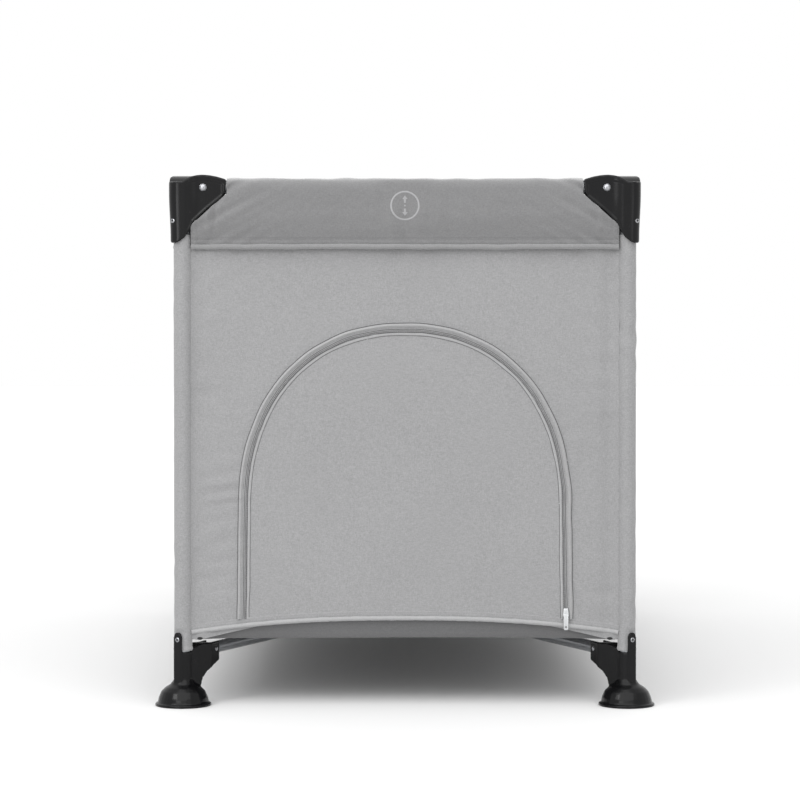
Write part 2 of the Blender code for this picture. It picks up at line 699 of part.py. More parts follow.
def door_outline(grow):
    """Outline of the arched door, made larger all round by grow."""
    arch = []
    for step in range(DOOR_ARCH_STEPS + 1):
        turn = math.pi * step / DOOR_ARCH_STEPS
        power = 2 / DOOR_ARCH_POWER
        across = math.copysign(abs(math.cos(turn)) ** power, math.cos(turn))
        up = math.sin(turn) ** power
        arch.append((across * (DOOR_HALF_WIDTH + grow), DOOR_ARCH_CENTRE + up * (DOOR_ARCH_RISE + grow)))
    foot_half = DOOR_HALF_WIDTH + DOOR_FLARE + grow
    steps = 8
    lower = [foot_half * (2 * step / steps - 1) for step in range(steps + 1)]
    return [*((at, edge_height("front", at) + EDGE_BAND - grow) for at in lower), *arch]


def wall_faces():
    """Inner and outer distance of a fabric wall from its side's leg axes."""
    return WALL_OUTSET - WALL_THICKNESS / 2, WALL_OUTSET + WALL_THICKNESS / 2


def build_wall(side, root):
    """Fabric wall of one side; the front one has the arched doorway."""
    inner, outer = wall_faces()
    body = prism("wall", wall_outline(side), "y", inner, outer)
    if side == "front":
        cut(body, prism("doorway", door_outline(DOOR_GAP), "y", inner - 0.01, outer + 0.01))
    reshape(body, side_frame(side))
    finish = "grey_fabric" if side in ("front", "rear") else "mesh_fabric"
    return settle(body, "wall_" + side, side_frame(side).translation, finish, root, smooth=False)


def build_door(root):
    """Fabric door that unzips and folds down on its lower edge."""
    inner, outer = wall_faces()
    body = prism("door", door_outline(0.0), "y", inner, outer)
    frame = side_frame("front")
    reshape(body, frame)
    hinge = frame @ Vector((0, outer, edge_height("front", 0.0) + EDGE_BAND))
    return settle(body, "door", hinge, "grey_fabric", root, smooth=False)


def slider_centre():
    """Middle of the zip slider's back face, in the front side's frame."""
    _, outer = wall_faces()
    return Vector((DOOR_HALF_WIDTH + DOOR_GAP / 2, outer + SEAT_GAP, SLIDER_Z + SLIDER_SIZE[2] / 2))


def build_zip_slider(root):
    """Zip slider on the right side of the door."""
    width, depth, length = SLIDER_SIZE
    centre = slider_centre()
    outline = [(-width / 2, -length * 0.3), (-width * 0.3, -length / 2), (width * 0.3, -length / 2),
               (width / 2, -length * 0.3), (width * 0.35, length / 2), (-width * 0.35, length / 2)]
    body = prism("slider", outline, "y", 0, depth)
    place = side_frame("front") @ Matrix.Translation(centre)
    reshape(body, place)
    return settle(body, "zip_slider", place.translation, "zip_plastic", root)


def build_zip_pull(root):
    """Flat pull tab that hangs on the slider."""
    width, depth, length = PULL_SIZE
    half = width / 2
    outline = [(-half, 0), (-half, -length + half * 0.6), (-half * 0.6, -length), (half * 0.6, -length),
               (half, -length + half * 0.6), (half, 0)]
    body = prism("pull", outline, "y", 0, depth)
    hole_z = -length + half * 1.3
    cut(body, rod("hole", (0, -0.01, hole_z), (0, 0.01, hole_z), PULL_HOLE_RADIUS, PIN_SIDES))
    offset = slider_centre() + Vector((0, SLIDER_SIZE[1] + SEAT_GAP, -SLIDER_SIZE[2] * 0.1))
    place = side_frame("front") @ Matrix.Translation(offset)
    reshape(body, place)
    return settle(body, "zip_pull", place.translation, "zip_plastic", root)


def build_rail_cover(side, root):
    """Padded fabric sleeve over a rail and its latch, between two corner caps, open below."""
    half, _ = side_span(side)
    reach = half - WING_LENGTH - COVER_WING_GAP
    top = HEIGHT - COVER_TOP_DROP
    low = top - COVER_DEPTH
    outer = COVER_HALF_DEPTH
    inner = outer - COVER_THICKNESS
    shoulder = 0.006
    outline = [
        (-outer, low), (-inner, low), (-inner, top - shoulder), (-inner + 0.004, top - COVER_THICKNESS),
        (inner - 0.004, top - COVER_THICKNESS), (inner, top - shoulder), (inner, low), (outer, low),
        (outer, top - shoulder), (outer - shoulder, top), (-outer + shoulder, top),
        (-outer, top - shoulder),
    ]
    body = prism("cover", outline, "x", -reach, reach)
    reshape(body, side_frame(side))
    pivot = side_frame(side).translation + Vector((0, 0, RAIL_Z))
    return settle(body, "rail_cover_" + side, pivot, "cover_fabric", root)


def build_floor(root):
    """Fabric floor above the bars, with a slot for the strap."""
    half_x = HALF_X - LEG_RADIUS - FLOOR_LEG_GAP
    half_y = HALF_Y - LEG_RADIUS - FLOOR_LEG_GAP
    body = box("floor", (-half_x, -half_y, FLOOR_Z), (half_x, half_y, FLOOR_Z + FLOOR_THICKNESS))
    slot_x = STRAP_HALF_LENGTH + FLOOR_SLOT_GAP
    slot_y = STRAP_WIDTH / 2 + FLOOR_SLOT_GAP
    cut(body, box("slot", (-slot_x, -slot_y, FLOOR_Z - 0.01), (slot_x, slot_y, FLOOR_Z + 0.01)))
    return settle(body, "floor_fabric", (0, 0, FLOOR_Z), "floor_fabric", root, smooth=False)


def build_mattress_panel(index, root):
    """One of the hinged panels of the mattress, counted from the front."""
    half_x = HALF_X - MATTRESS_SIDE_GAP
    length = 2 * (HALF_Y - MATTRESS_END_GAP)
    panel = length / MATTRESS_PANELS
    low_y = -length / 2 + panel * index + MATTRESS_SEAM / 2
    high_y = low_y + panel - MATTRESS_SEAM
    edge = MATTRESS_EDGE
    top = MATTRESS_Z + MATTRESS_THICKNESS
    outline = [(low_y + edge, MATTRESS_Z), (high_y - edge, MATTRESS_Z), (high_y, MATTRESS_Z + edge),
               (high_y, top - edge / 2), (high_y - edge / 2, top), (low_y + edge / 2, top),
               (low_y, top - edge / 2), (low_y, MATTRESS_Z + edge)]
    body = prism("mattress", outline, "x", -half_x, half_x)
    pivot = (0, low_y, top)
    return settle(body, "mattress_panel_{}".format(index + 1), pivot, "mattress_fabric", root)


def main():
    """Build every piece of the playpen."""
    for item in list(bpy.data.objects):
        bpy.data.objects.remove(item)
    root = bpy.data.objects.new("playpen", None)
    bpy.context.scene.collection.objects.link(root)
    for corner in CORNERS:
        build_leg(corner, root)
        build_corner(corner, root)
        build_foot(corner, root)
        build_floor_bar(corner, root)
    for side in SIDES:
        for end_index in (0, 1):
            build_rail_half(side, end_index, root)
            build_rivet(side, end_index, root)
        build_latch(side, root)
        build_button(side, root)
        build_rail_cover(side, root)
        build_wall(side, root)
    build_hub(root)
    build_strap(root)
    build_door(root)
    build_zip_slider(root)
    build_zip_pull(root)
    build_floor(root)
    for index in range(MATTRESS_PANELS):
        build_mattress_panel(index, root)


main()
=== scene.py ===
"""Looks of the folding playpen: fabric walls with an arched zip door, padded rail covers, moulded
corner caps and feet, steel floor bars, quilted mattress and a soft studio.

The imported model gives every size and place. Each class below makes one sub-assembly; a surface is a
numpy grid of two parameters, or a profile carried along a path.
"""

import logging
import math
from dataclasses import dataclass, field
from enum import Enum
from typing import Callable, Sequence

import bmesh
import bpy
import numpy as np
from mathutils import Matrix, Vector


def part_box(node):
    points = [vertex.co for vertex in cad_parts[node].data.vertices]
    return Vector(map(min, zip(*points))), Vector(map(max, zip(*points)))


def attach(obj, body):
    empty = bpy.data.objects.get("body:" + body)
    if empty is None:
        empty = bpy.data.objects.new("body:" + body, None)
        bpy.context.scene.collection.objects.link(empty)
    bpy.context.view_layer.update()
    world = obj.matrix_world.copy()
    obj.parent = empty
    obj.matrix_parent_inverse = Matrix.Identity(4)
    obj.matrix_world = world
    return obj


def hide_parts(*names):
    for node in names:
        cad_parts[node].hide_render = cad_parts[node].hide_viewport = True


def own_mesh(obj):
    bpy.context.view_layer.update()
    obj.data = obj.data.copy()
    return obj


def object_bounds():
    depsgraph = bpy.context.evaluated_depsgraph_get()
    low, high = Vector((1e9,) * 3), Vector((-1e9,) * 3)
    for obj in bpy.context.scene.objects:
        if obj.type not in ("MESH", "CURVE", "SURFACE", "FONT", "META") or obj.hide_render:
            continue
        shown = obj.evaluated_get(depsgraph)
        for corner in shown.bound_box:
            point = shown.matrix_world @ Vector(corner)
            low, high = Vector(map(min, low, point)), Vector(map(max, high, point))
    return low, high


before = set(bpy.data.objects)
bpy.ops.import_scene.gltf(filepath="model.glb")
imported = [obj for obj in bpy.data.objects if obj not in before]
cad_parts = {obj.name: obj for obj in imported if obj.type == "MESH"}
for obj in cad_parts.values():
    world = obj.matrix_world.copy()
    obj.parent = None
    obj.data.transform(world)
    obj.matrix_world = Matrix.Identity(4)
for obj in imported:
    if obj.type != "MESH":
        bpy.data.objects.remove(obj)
CAD_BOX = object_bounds()
LOG = logging.getLogger("playpen")

Array = np.ndarray
Colour = tuple[float, float, float]


class Corner(Enum):
    """A corner of the pen, with the signs of its X and Y."""

    FRONT_LEFT = (-1, -1)
    FRONT_RIGHT = (1, -1)
    REAR_LEFT = (-1, 1)
    REAR_RIGHT = (1, 1)

    @property
    def label(self) -> str:
        """Name of the corner as the nodes spell it."""
        return self.name.lower()


class Side(Enum):
    """A side of the pen: direction along it, direction out of it, and the names of its ends."""

    FRONT = ((1, 0), (0, -1), ("left", "right"))
    REAR = ((1, 0), (0, 1), ("left", "right"))
    LEFT = ((0, 1), (-1, 0), ("front", "rear"))
    RIGHT = ((0, 1), (1, 0), ("front", "rear"))

    @property
    def label(self) -> str:
        """Name of the side as the nodes spell it."""
        return self.name.lower()

    @property
    def wall_body(self) -> str:
        """Body that the side's wall rides on: the leg at the side's first end."""
        return {"FRONT": "leg_front_left", "REAR": "leg_rear_left",
                "LEFT": "leg_front_left", "RIGHT": "leg_front_right"}[self.name]


@dataclass(frozen=True)
class Plan:
    """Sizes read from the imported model."""

    half_x: float
    half_y: float
    leg_radius: float
    rail_z: float
    top: float

    @classmethod
    def read(cls) -> "Plan":
        """Read the plan from the boxes of the nodes.

        Returns:
            The plan of the whole pen.
        """
        low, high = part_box("leg_rear_right")
        rail_low, rail_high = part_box("rail_front_left")
        return cls((low.x + high.x) / 2, (low.y + high.y) / 2, (high.x - low.x) / 2,
                   (rail_low.z + rail_high.z) / 2, CAD_BOX[1].z)

    def half(self, side: Side) -> float:
        """Distance from the middle of a side to its legs."""
        return self.half_x if side in (Side.FRONT, Side.REAR) else self.half_y

    def reach(self, side: Side) -> float:
        """Distance from the pen's middle to the line of a side's legs."""
        return self.half_y if side in (Side.FRONT, Side.REAR) else self.half_x

    def place(self, side: Side, along: Array, out: Array, up: Array) -> Array:
        """Points given along a side, out from its leg line and up, as world points.

        Args:
            side: side of the pen.
            along: distances from the side's middle.
            out: distances out from the line of the side's legs.
            up: heights.

        Returns:
            World points, with a last axis of three.
        """
        along, out, up = np.broadcast_arrays(along, out, up)
        (ax, ay), (ox, oy), _ = side.value
        reach = self.reach(side) + out
        return np.stack([ax * along + ox * reach, ay * along + oy * reach, up], axis=-1)

    def leg(self, corner: Corner) -> tuple[float, float]:
        """Plan position of a leg's axis."""
        sign_x, sign_y = corner.value
        return sign_x * self.half_x, sign_y * self.half_y


PLAN = Plan.read()


# ---------------------------------------------------------------- meshes

def unit_steps(count: int) -> Array:
    """Even steps from 0 to 1."""
    return np.linspace(0.0, 1.0, count)


def smooth_step(low: float, high: float, value: Array) -> Array:
    """Zero below low, one above high, with a cubic ease between them."""
    share = np.clip((value - low) / (high - low), 0.0, 1.0)
    return share * share * (3.0 - 2.0 * share)


def ripple(first: Array, second: Array, seed: int, terms: int = 7) -> Array:
    """Smooth random surface in about -1 to 1: a sum of sines with seeded directions and phases.

    Args:
        first: first coordinate, in wavelengths.
        second: second coordinate, in wavelengths.
        seed: seed of the directions and phases.
        terms: number of sines.

    Returns:
        Height at each pair of coordinates.
    """
    source = np.random.default_rng(seed)
    total = np.zeros(np.broadcast(first, second).shape)
    for _ in range(terms):
        turn, phase = source.uniform(0, 2 * math.pi, 2)
        rate = 2 * math.pi * source.uniform(0.6, 1.5)
        total = total + np.sin(rate * (first * math.cos(turn) + second * math.sin(turn)) + phase)
    return total / math.sqrt(terms * 1.4)


def grid_object(name: str, points: Array, uv: Array | None = None, closed_first: bool = False,
                closed_second: bool = False, outward: Callable[[Array], Array] | None = None
                ) -> bpy.types.Object:
    """Make an object from a grid of points.

    Args:
        name: object name.
        points: grid of points, rows by columns by three.
        uv: matching grid of texture coordinates in metres, or None.
        closed_first: whether the last row joins the first.
        closed_second: whether the last column joins the first.
        outward: from face centres to directions that the faces should point along.

    Returns:
        The new object, with quads and smooth shading.
    """
    rows, columns = points.shape[:2]
    row = np.arange(rows if closed_first else rows - 1)
    column = np.arange(columns if closed_second else columns - 1)
    first, second = np.meshgrid(row, column, indexing="ij")
    after_first, after_second = (first + 1) % rows, (second + 1) % columns
    index = np.stack([first * columns + second, after_first * columns + second,
                      after_first * columns + after_second, first * columns + after_second], axis=-1)
    faces = index.reshape(-1, 4)
    flat = points.reshape(-1, 3)
    if outward is not None:
        corners = flat[faces]
        normal = np.cross(corners[:, 2] - corners[:, 0], corners[:, 3] - corners[:, 1])
        if np.sum(normal * outward(corners.mean(axis=1))) < 0:
            faces = faces[:, ::-1]
    mesh = bpy.data.meshes.new(name)
    mesh.from_pydata(flat.tolist(), [], faces.tolist())
    if uv is not None:
        layer = mesh.uv_layers.new(name="metres")
        loops = np.empty(len(mesh.loops), dtype=np.int32)
        mesh.loops.foreach_get("vertex_index", loops)
        layer.data.foreach_set("uv", uv.reshape(-1, 2)[loops].astype(np.float32).ravel())
    mesh.shade_smooth()
    item = bpy.data.objects.new(name, mesh)
    bpy.context.scene.collection.objects.link(item)
    return item


def tube_points(path: Array, radius: Array | float, sides: int, closed: bool = False) -> Array:
    """Circle of the given radius carried along a path, square to it.

    Args:
        path: points of the path.
        radius: radius, one or one for each point.
        sides: points round the circle.
        closed: whether the path is a loop.

    Returns:
        Grid of points, path by sides by three.
    """
    if closed:
        tangent = np.roll(path, -1, axis=0) - np.roll(path, 1, axis=0)
    else:
        tangent = np.gradient(path, axis=0)
    tangent = tangent / np.linalg.norm(tangent, axis=1, keepdims=True)
    spread = np.abs(tangent).mean(axis=0)
    helper = np.eye(3)[int(np.argmin(spread))]
    across = np.cross(tangent, helper)
    across = across / np.linalg.norm(across, axis=1, keepdims=True)
    third = np.cross(tangent, across)
    turn = 2 * math.pi * np.arange(sides) / sides
    radius = np.broadcast_to(radius, (len(path),))[:, None, None]
    ring = across[:, None, :] * np.cos(turn)[None, :, None] + third[:, None, :] * np.sin(turn)[None, :, None]
    return path[:, None, :] + ring * radius


def close_ends(item: bpy.types.Object) -> None:
    """Fill an object's open loops, then point all its faces outward."""
    maker = bmesh.new()
    maker.from_mesh(item.data)
    bmesh.ops.remove_doubles(maker, verts=maker.verts, dist=1e-7)
    bmesh.ops.holes_fill(maker, edges=[edge for edge in maker.edges if edge.is_boundary], sides=0)
    bmesh.ops.recalc_face_normals(maker, faces=maker.faces)
    maker.to_mesh(item.data)
    maker.free()
    item.data.shade_smooth()
    item.data.set_sharp_from_angle(angle=math.radians(40))


def cord_object(name: str, path: Array, radius: Array | float, sides: int = 12,
                closed: bool = False) -> bpy.types.Object:
    """Round cord or tube along a path, with its ends filled.

    Args:
        name: object name.
        path: points of the path.
        radius: radius, one or one for each point.
        sides: points round it.
        closed: whether the path is a loop.

    Returns:
        The new object, with texture coordinates of metres along and round it.
    """
    points = tube_points(path, radius, sides, closed)
    steps = np.linalg.norm(np.diff(path, axis=0), axis=1)
    along = np.concatenate([[0.0], np.cumsum(steps)])
    uv = np.stack(np.broadcast_arrays(along[:, None], 0.001 * np.arange(sides)[None, :]), axis=-1)
    item = grid_object(name, points, uv, closed_first=closed, closed_second=True)
    close_ends(item)
    return item


def turned_points(profile: Sequence[tuple[float, float]], sides: int) -> Array:
    """Profile of (radius, height) pairs turned about Z, as a grid of points."""
    radius, height = np.array(profile).T
    turn = 2 * math.pi * np.arange(sides) / sides
    return np.stack(np.broadcast_arrays(radius[:, None] * np.cos(turn), radius[:, None] * np.sin(turn),
                                        height[:, None]), axis=-1)


def aim(points: Array, origin: Sequence[float], direction: Sequence[float]) -> Array:
    """Turn points whose axis is Z so that it runs along direction, and move them to origin."""
    turn = np.array(Vector(direction).normalized().to_track_quat("Z", "Y").to_matrix())
    return points @ turn.T + np.array(origin, dtype=float)


def bake(item: bpy.types.Object) -> bpy.types.Object:
    """Apply an object's modifiers to its mesh."""
    graph = bpy.context.evaluated_depsgraph_get()
    mesh = bpy.data.meshes.new_from_object(item.evaluated_get(graph))
    item.modifiers.clear()
    old = item.data
    item.data = mesh
    bpy.data.meshes.remove(old)
    return item


def thicken(item: bpy.types.Object, thickness: float) -> bpy.types.Object:
    """Give a sheet its thickness behind its outer face, and apply it."""
    wall = item.modifiers.new("thickness", "SOLIDIFY")
    wall.thickness = thickness
    wall.offset = -1.0
    bake(item)
    item.data.set_sharp_from_angle(angle=math.radians(55))
    return item


def fuse(name: str, items: Sequence[bpy.types.Object], weld: float = 0.0) -> bpy.types.Object:
    """Join objects into one, keeping each one's material.

    Args:
        name: name of the joined object.
        items: objects to join; the first keeps its identity.
        weld: distance within which points merge, or 0 for none.

    Returns:
        The joined object.
    """
    with bpy.context.temp_override(active_object=items[0], selected_editable_objects=list(items)):
        bpy.ops.object.join()
    item = items[0]
    item.name = name
    if weld > 0:
        maker = bmesh.new()
        maker.from_mesh(item.data)
        bmesh.ops.remove_doubles(maker, verts=maker.verts, dist=weld)
        maker.to_mesh(item.data)
        maker.free()
    return item


def dress(item: bpy.types.Object, material: bpy.types.Material) -> bpy.types.Object:
    """Give an object one material."""
    item.data.materials.clear()
    item.data.materials.append(material)
    return item


def grid_area(points: Array) -> float:
    """Area of a grid of points, half the cross product of each cell's diagonals."""
    first = points[1:, 1:] - points[:-1, :-1]
    second = points[1:, :-1] - points[:-1, 1:]
    return float(np.linalg.norm(np.cross(first, second), axis=-1).sum() / 2)


# ---------------------------------------------------------------- shader building

class Graph:
    """Short way to add and join nodes in one node tree."""

    def __init__(self, tree: bpy.types.NodeTree) -> None:
        """Keep the tree.

        Args:
            tree: tree to build in.
        """
        self.tree = tree

    def add(self, kind: str, settings: dict | None = None, **inputs: object) -> bpy.types.Node:
        """Add a node, set its properties and set or link its inputs.

        Args:
            kind: node type.
            settings: properties of the node.
            **inputs: values or sockets by input name, with _ for a space.

        Returns:
            The new node.
        """
        node = self.tree.nodes.new(kind)
        for key, value in (settings or {}).items():
            setattr(node, key, value)
        for key, value in inputs.items():
            self.feed(node, key.replace("_", " "), value)
        return node

    def feed(self, node: bpy.types.Node, key: str | int, value: object) -> None:
        """Set or link one input of a node."""
        socket = node.inputs[key]
        if isinstance(value, bpy.types.NodeSocket):
            self.tree.links.new(value, socket)
        elif isinstance(value, tuple) and len(value) == 3 and socket.type == "RGBA":
            socket.default_value = (*value, 1.0)
        else:
            socket.default_value = value

    def math(self, operation: str, first: object, second: object = 0.0, third: object = 0.0
             ) -> bpy.types.NodeSocket:
        """Output of a Math node."""
        node = self.add("ShaderNodeMath", {"operation": operation})
        for index, value in enumerate((first, second, third)):
            self.feed(node, index, value)
        return node.outputs[0]

    def blend(self, share: object, first: object, second: object) -> bpy.types.NodeSocket:
        """Colour between first and second by share."""
        node = self.add("ShaderNodeMix", {"data_type": "RGBA"})
        self.feed(node, 0, share)
        self.feed(node, 6, first)
        self.feed(node, 7, second)
        return node.outputs[2]

    def noise(self, vector: object, scale: float, detail: float = 2.0) -> bpy.types.NodeSocket:
        """Value of a noise texture."""
        return self.add("ShaderNodeTexNoise", Vector=vector, Scale=scale, Detail=detail).outputs["Fac"]


def node_group(name: str, inputs: Sequence[tuple[str, str, object]], outputs: Sequence[tuple[str, str]],
               build: Callable[[Graph, bpy.types.Node, bpy.types.Node], None]) -> bpy.types.NodeTree:
    """Make a shader node group once.

    Args:
        name: group name.
        inputs: (name, socket type, default or None) of each input.
        outputs: (name, socket type) of each output.
        build: fills the group, given its graph, its input node and its output node.

    Returns:
        The group.
    """
    found = bpy.data.node_groups.get(name)
    if found:
        return found
    tree = bpy.data.node_groups.new(name, "ShaderNodeTree")
    for label, kind, default in inputs:
        socket = tree.interface.new_socket(name=label, in_out="INPUT", socket_type=kind)
        if default is not None:
            socket.default_value = default
    for label, kind in outputs:
        tree.interface.new_socket(name=label, in_out="OUTPUT", socket_type=kind)
    graph = Graph(tree)
    build(graph, graph.add("NodeGroupInput"), graph.add("NodeGroupOutput"))
    return tree


VECTOR, FLOAT, COLOUR = "NodeSocketVector", "NodeSocketFloat", "NodeSocketColor"


def heather_group() -> bpy.types.NodeTree:
    """Melange yarn cloth: light and dark yarn flecks, soft cloudiness and a fine plain weave."""
    def build(graph: Graph, entry: bpy.types.Node, leave: bpy.types.Node) -> None:
        """Flecks are two crossed stretched noises; the weave is the product of two fine sine waves."""
        where = entry.outputs["Vector"]
        yarns = []
        for stretch in ((1.0, 1.0, 4.5), (4.5, 4.5, 1.0)):
            streak = graph.add("ShaderNodeVectorMath", {"operation": "MULTIPLY"})
            graph.feed(streak, 0, where)
            graph.feed(streak, 1, stretch)
            yarns.append(graph.noise(streak.outputs[0], 260.0, 3.0))
        halves = [graph.math("MULTIPLY", yarn, 0.5) for yarn in (yarns[0], yarns[1])]
        coarse = graph.math("ADD", *halves)
        fine = graph.noise(where, 1500.0, 2.0)
        cloud = graph.noise(where, 7.0, 2.0)
        fleck = graph.math("ADD", graph.math("MULTIPLY", coarse, 0.65), graph.math("MULTIPLY", fine, 0.35))
        share = graph.add("ShaderNodeMapRange", Value=fleck, From_Min=0.34, From_Max=0.66).outputs[0]
        share = graph.math("MULTIPLY_ADD", cloud, 0.16, graph.math("MULTIPLY", share, 0.86))
        graph.feed(leave, "Color", graph.blend(share, entry.outputs["Dark"], entry.outputs["Light"]))
        parts = graph.add("ShaderNodeSeparateXYZ", Vector=where)
        rate = entry.outputs["Yarns"]
        across = graph.math("ADD", parts.outputs[0], parts.outputs[1])
        warp = graph.math("SINE", graph.math("MULTIPLY", across, rate))
        weft = graph.math("SINE", graph.math("MULTIPLY", parts.outputs[2], rate))
        weave = graph.math("MULTIPLY", warp, weft)
        fine = graph.math("MULTIPLY", weave, 0.4)
        graph.feed(leave, "Height", graph.math("MULTIPLY_ADD", coarse, 0.9, fine))

    return node_group("heather_weave", [("Vector", VECTOR, None), ("Light", COLOUR, None),
                                        ("Dark", COLOUR, None), ("Yarns", FLOAT, 4200.0)],
                      [("Color", COLOUR), ("Height", FLOAT)], build)


def stitch_group() -> bpy.types.NodeTree:
    """Row of stitches: one where a thread lies, from metres along and across a seam."""
    def build(graph: Graph, entry: bpy.types.Node, leave: bpy.types.Node) -> None:
        """A stitch is a dash of three quarters of the pitch within half a thread of the row."""
        phase = graph.math("FRACT", graph.math("DIVIDE", entry.outputs["Along"], entry.outputs["Pitch"]))
        dash = graph.math("LESS_THAN", phase, 0.74)
        off = graph.math("ABSOLUTE", graph.math("SUBTRACT", entry.outputs["Across"], entry.outputs["Row"]))
        near = graph.math("LESS_THAN", off, entry.outputs["Half width"])
        rise = graph.math("SUBTRACT", 1.0, graph.math("DIVIDE", off, graph.math("MULTIPLY", 3.0,
                                                                              entry.outputs["Half width"])))
        graph.feed(leave, "Mask", graph.math("MULTIPLY", dash, near))
        graph.feed(leave, "Pull", graph.math("MAXIMUM", rise, 0.0))

    return node_group("stitch_row", [("Along", FLOAT, 0.0), ("Across", FLOAT, 0.0), ("Row", FLOAT, 0.0),
                                     ("Pitch", FLOAT, 0.0036), ("Half width", FLOAT, 0.00035)],
                      [("Mask", FLOAT), ("Pull", FLOAT)], build)


def grain_group() -> bpy.types.NodeTree:
    """Moulded or painted skin: fine grain, broad gloss change and faint scuffs."""
    def build(graph: Graph, entry: bpy.types.Node, leave: bpy.types.Node) -> None:
        """Roughness is the base plus broad noise; scuffs are a sharp stretched noise."""
        where = entry.outputs["Vector"]
        broad = graph.noise(where, 24.0, 3.0)
        fine = graph.noise(where, 1400.0, 2.0)
        scuff = graph.add("ShaderNodeMapRange", Value=graph.noise(where, 90.0, 8.0), From_Min=0.66,
                          From_Max=0.76).outputs[0]
        rough = graph.math("MULTIPLY_ADD", broad, entry.outputs["Change"], entry.outputs["Base"])
        graph.feed(leave, "Roughness", graph.math("MULTIPLY_ADD", scuff, 0.10, rough))
        graph.feed(leave, "Height", fine)
        graph.feed(leave, "Scuff", scuff)

    return node_group("fine_grain", [("Vector", VECTOR, None), ("Base", FLOAT, 0.2),
                                     ("Change", FLOAT, 0.1)],
                      [("Roughness", FLOAT), ("Height", FLOAT), ("Scuff", FLOAT)], build)


def start_material(name: str) -> tuple[bpy.types.Material, Graph, bpy.types.Node, bpy.types.NodeSocket]:
    """Start a node material.

    Args:
        name: material name.

    Returns:
        The material, its graph, its Principled shader and the Object coordinates socket.
    """
    material = bpy.data.materials.new(name)
    material.use_nodes = True
    graph = Graph(material.node_tree)
    shader = material.node_tree.nodes["Principled BSDF"]
    where = graph.add("ShaderNodeTexCoord").outputs["Object"]
    return material, graph, shader, where


def use_group(graph: Graph, group: bpy.types.NodeTree, **inputs: object) -> bpy.types.Node:
    """Place a node group in a material."""
    node = graph.add("ShaderNodeGroup", {"node_tree": group})
    for key, value in inputs.items():
        graph.feed(node, key.replace("_", " "), value)
    return node


def add_bump(graph: Graph, shader: bpy.types.Node, height: object, strength: float, depth: float) -> None:
    """Feed a height to the shader's normal."""
    bump = graph.add("ShaderNodeBump", Strength=strength, Distance=depth, Height=height)
    graph.feed(shader, "Normal", bump.outputs[0])


@dataclass(frozen=True)
class HeatherCloth:
    """Melange polyester cloth, with stitch rows where the piece has a seam."""

    name: str
    light: Colour
    dark: Colour
    roughness: float = 0.88
    sheen: float = 0.25
    rows: tuple[float, ...] = ()
    thread: Colour = (0.55, 0.55, 0.56)

    def material(self) -> bpy.types.Material:
        """Make the cloth's material.

        Returns:
            The material.
        """
        material, graph, shader, where = start_material(self.name)
        weave = use_group(graph, heather_group(), Vector=where, Light=self.light, Dark=self.dark)
        colour, height = weave.outputs["Color"], weave.outputs["Height"]
        if self.rows:
            seam = graph.add("ShaderNodeSeparateXYZ", Vector=graph.add(
                "ShaderNodeUVMap", {"uv_map": "metres"}).outputs[0])
            for row in self.rows:
                stitch = use_group(graph, stitch_group(), Along=seam.outputs[0], Across=seam.outputs[1],
                                   Row=row)
                colour = graph.blend(stitch.outputs["Mask"], colour, self.thread)
                height = graph.math("MULTIPLY_ADD", stitch.outputs["Mask"], 1.6, height)
                height = graph.math("MULTIPLY_ADD", stitch.outputs["Pull"], -1.5, height)
        graph.feed(shader, "Base Color", colour)
        shader.inputs["Roughness"].default_value = self.roughness
        shader.inputs["Sheen Weight"].default_value = self.sheen
        shader.inputs["Sheen Roughness"].default_value = 0.5
        add_bump(graph, shader, height, 0.35, 0.0005)
        return material


@dataclass(frozen=True)
class GrainedSkin:
    """Moulded plastic, painted steel or bare metal with a fine grain."""

    name: str
    colour: Colour
    rough: float
    metallic: float = 0.0
    change: float = 0.10
    grain: float = 0.08
    shine: float = 0.5

    def material(self) -> bpy.types.Material:
        """Make the skin's material.

        Returns:
            The material.
        """
        material, graph, shader, where = start_material(self.name)
        grain = use_group(graph, grain_group(), Vector=where, Base=self.rough, Change=self.change)
        worn = tuple(min(1.0, part * 1.5 + 0.01) for part in self.colour)
        share = graph.math("MULTIPLY", grain.outputs["Scuff"], 0.35)
        graph.feed(shader, "Base Color", graph.blend(share, self.colour, worn))
        graph.feed(shader, "Roughness", grain.outputs["Roughness"])
        shader.inputs["Metallic"].default_value = self.metallic
        shader.inputs["Specular IOR Level"].default_value = self.shine
        add_bump(graph, shader, grain.outputs["Height"], self.grain, 0.0002)
        return material


@dataclass(frozen=True)
class NetCloth:
    """Knitted see-through net with round holes, on metres of the piece's own texture map."""

    name: str
    colour: Colour
    pitch: float = 0.0026

    def material(self) -> bpy.types.Material:
        """Make the net's material: a hole is where two crossed sines are both high.

        Returns:
            The material.
        """
        material, graph, shader, _ = start_material(self.name)
        place = graph.add("ShaderNodeSeparateXYZ", Vector=graph.add(
            "ShaderNodeUVMap", {"uv_map": "metres"}).outputs[0])
        rate = 2 * math.pi / self.pitch
        first = graph.math("SINE", graph.math("MULTIPLY", graph.math("ADD", place.outputs[0],
                                                                    place.outputs[1]), rate * 0.7))
        second = graph.math("SINE", graph.math("MULTIPLY", graph.math("SUBTRACT", place.outputs[0],
                                                                     place.outputs[1]), rate * 0.7))
        yarn = graph.math("ABSOLUTE", graph.math("MULTIPLY", first, second))
        cover = graph.add("ShaderNodeMapRange", Value=yarn, From_Min=0.20, From_Max=0.36, To_Min=1.0,
                          To_Max=0.0).outputs[0]
        graph.feed(shader, "Alpha", cover)
        shade = graph.blend(yarn, self.colour, tuple(part * 0.7 for part in self.colour))
        graph.feed(shader, "Base Color", shade)
        shader.inputs["Roughness"].default_value = 0.7
        return material


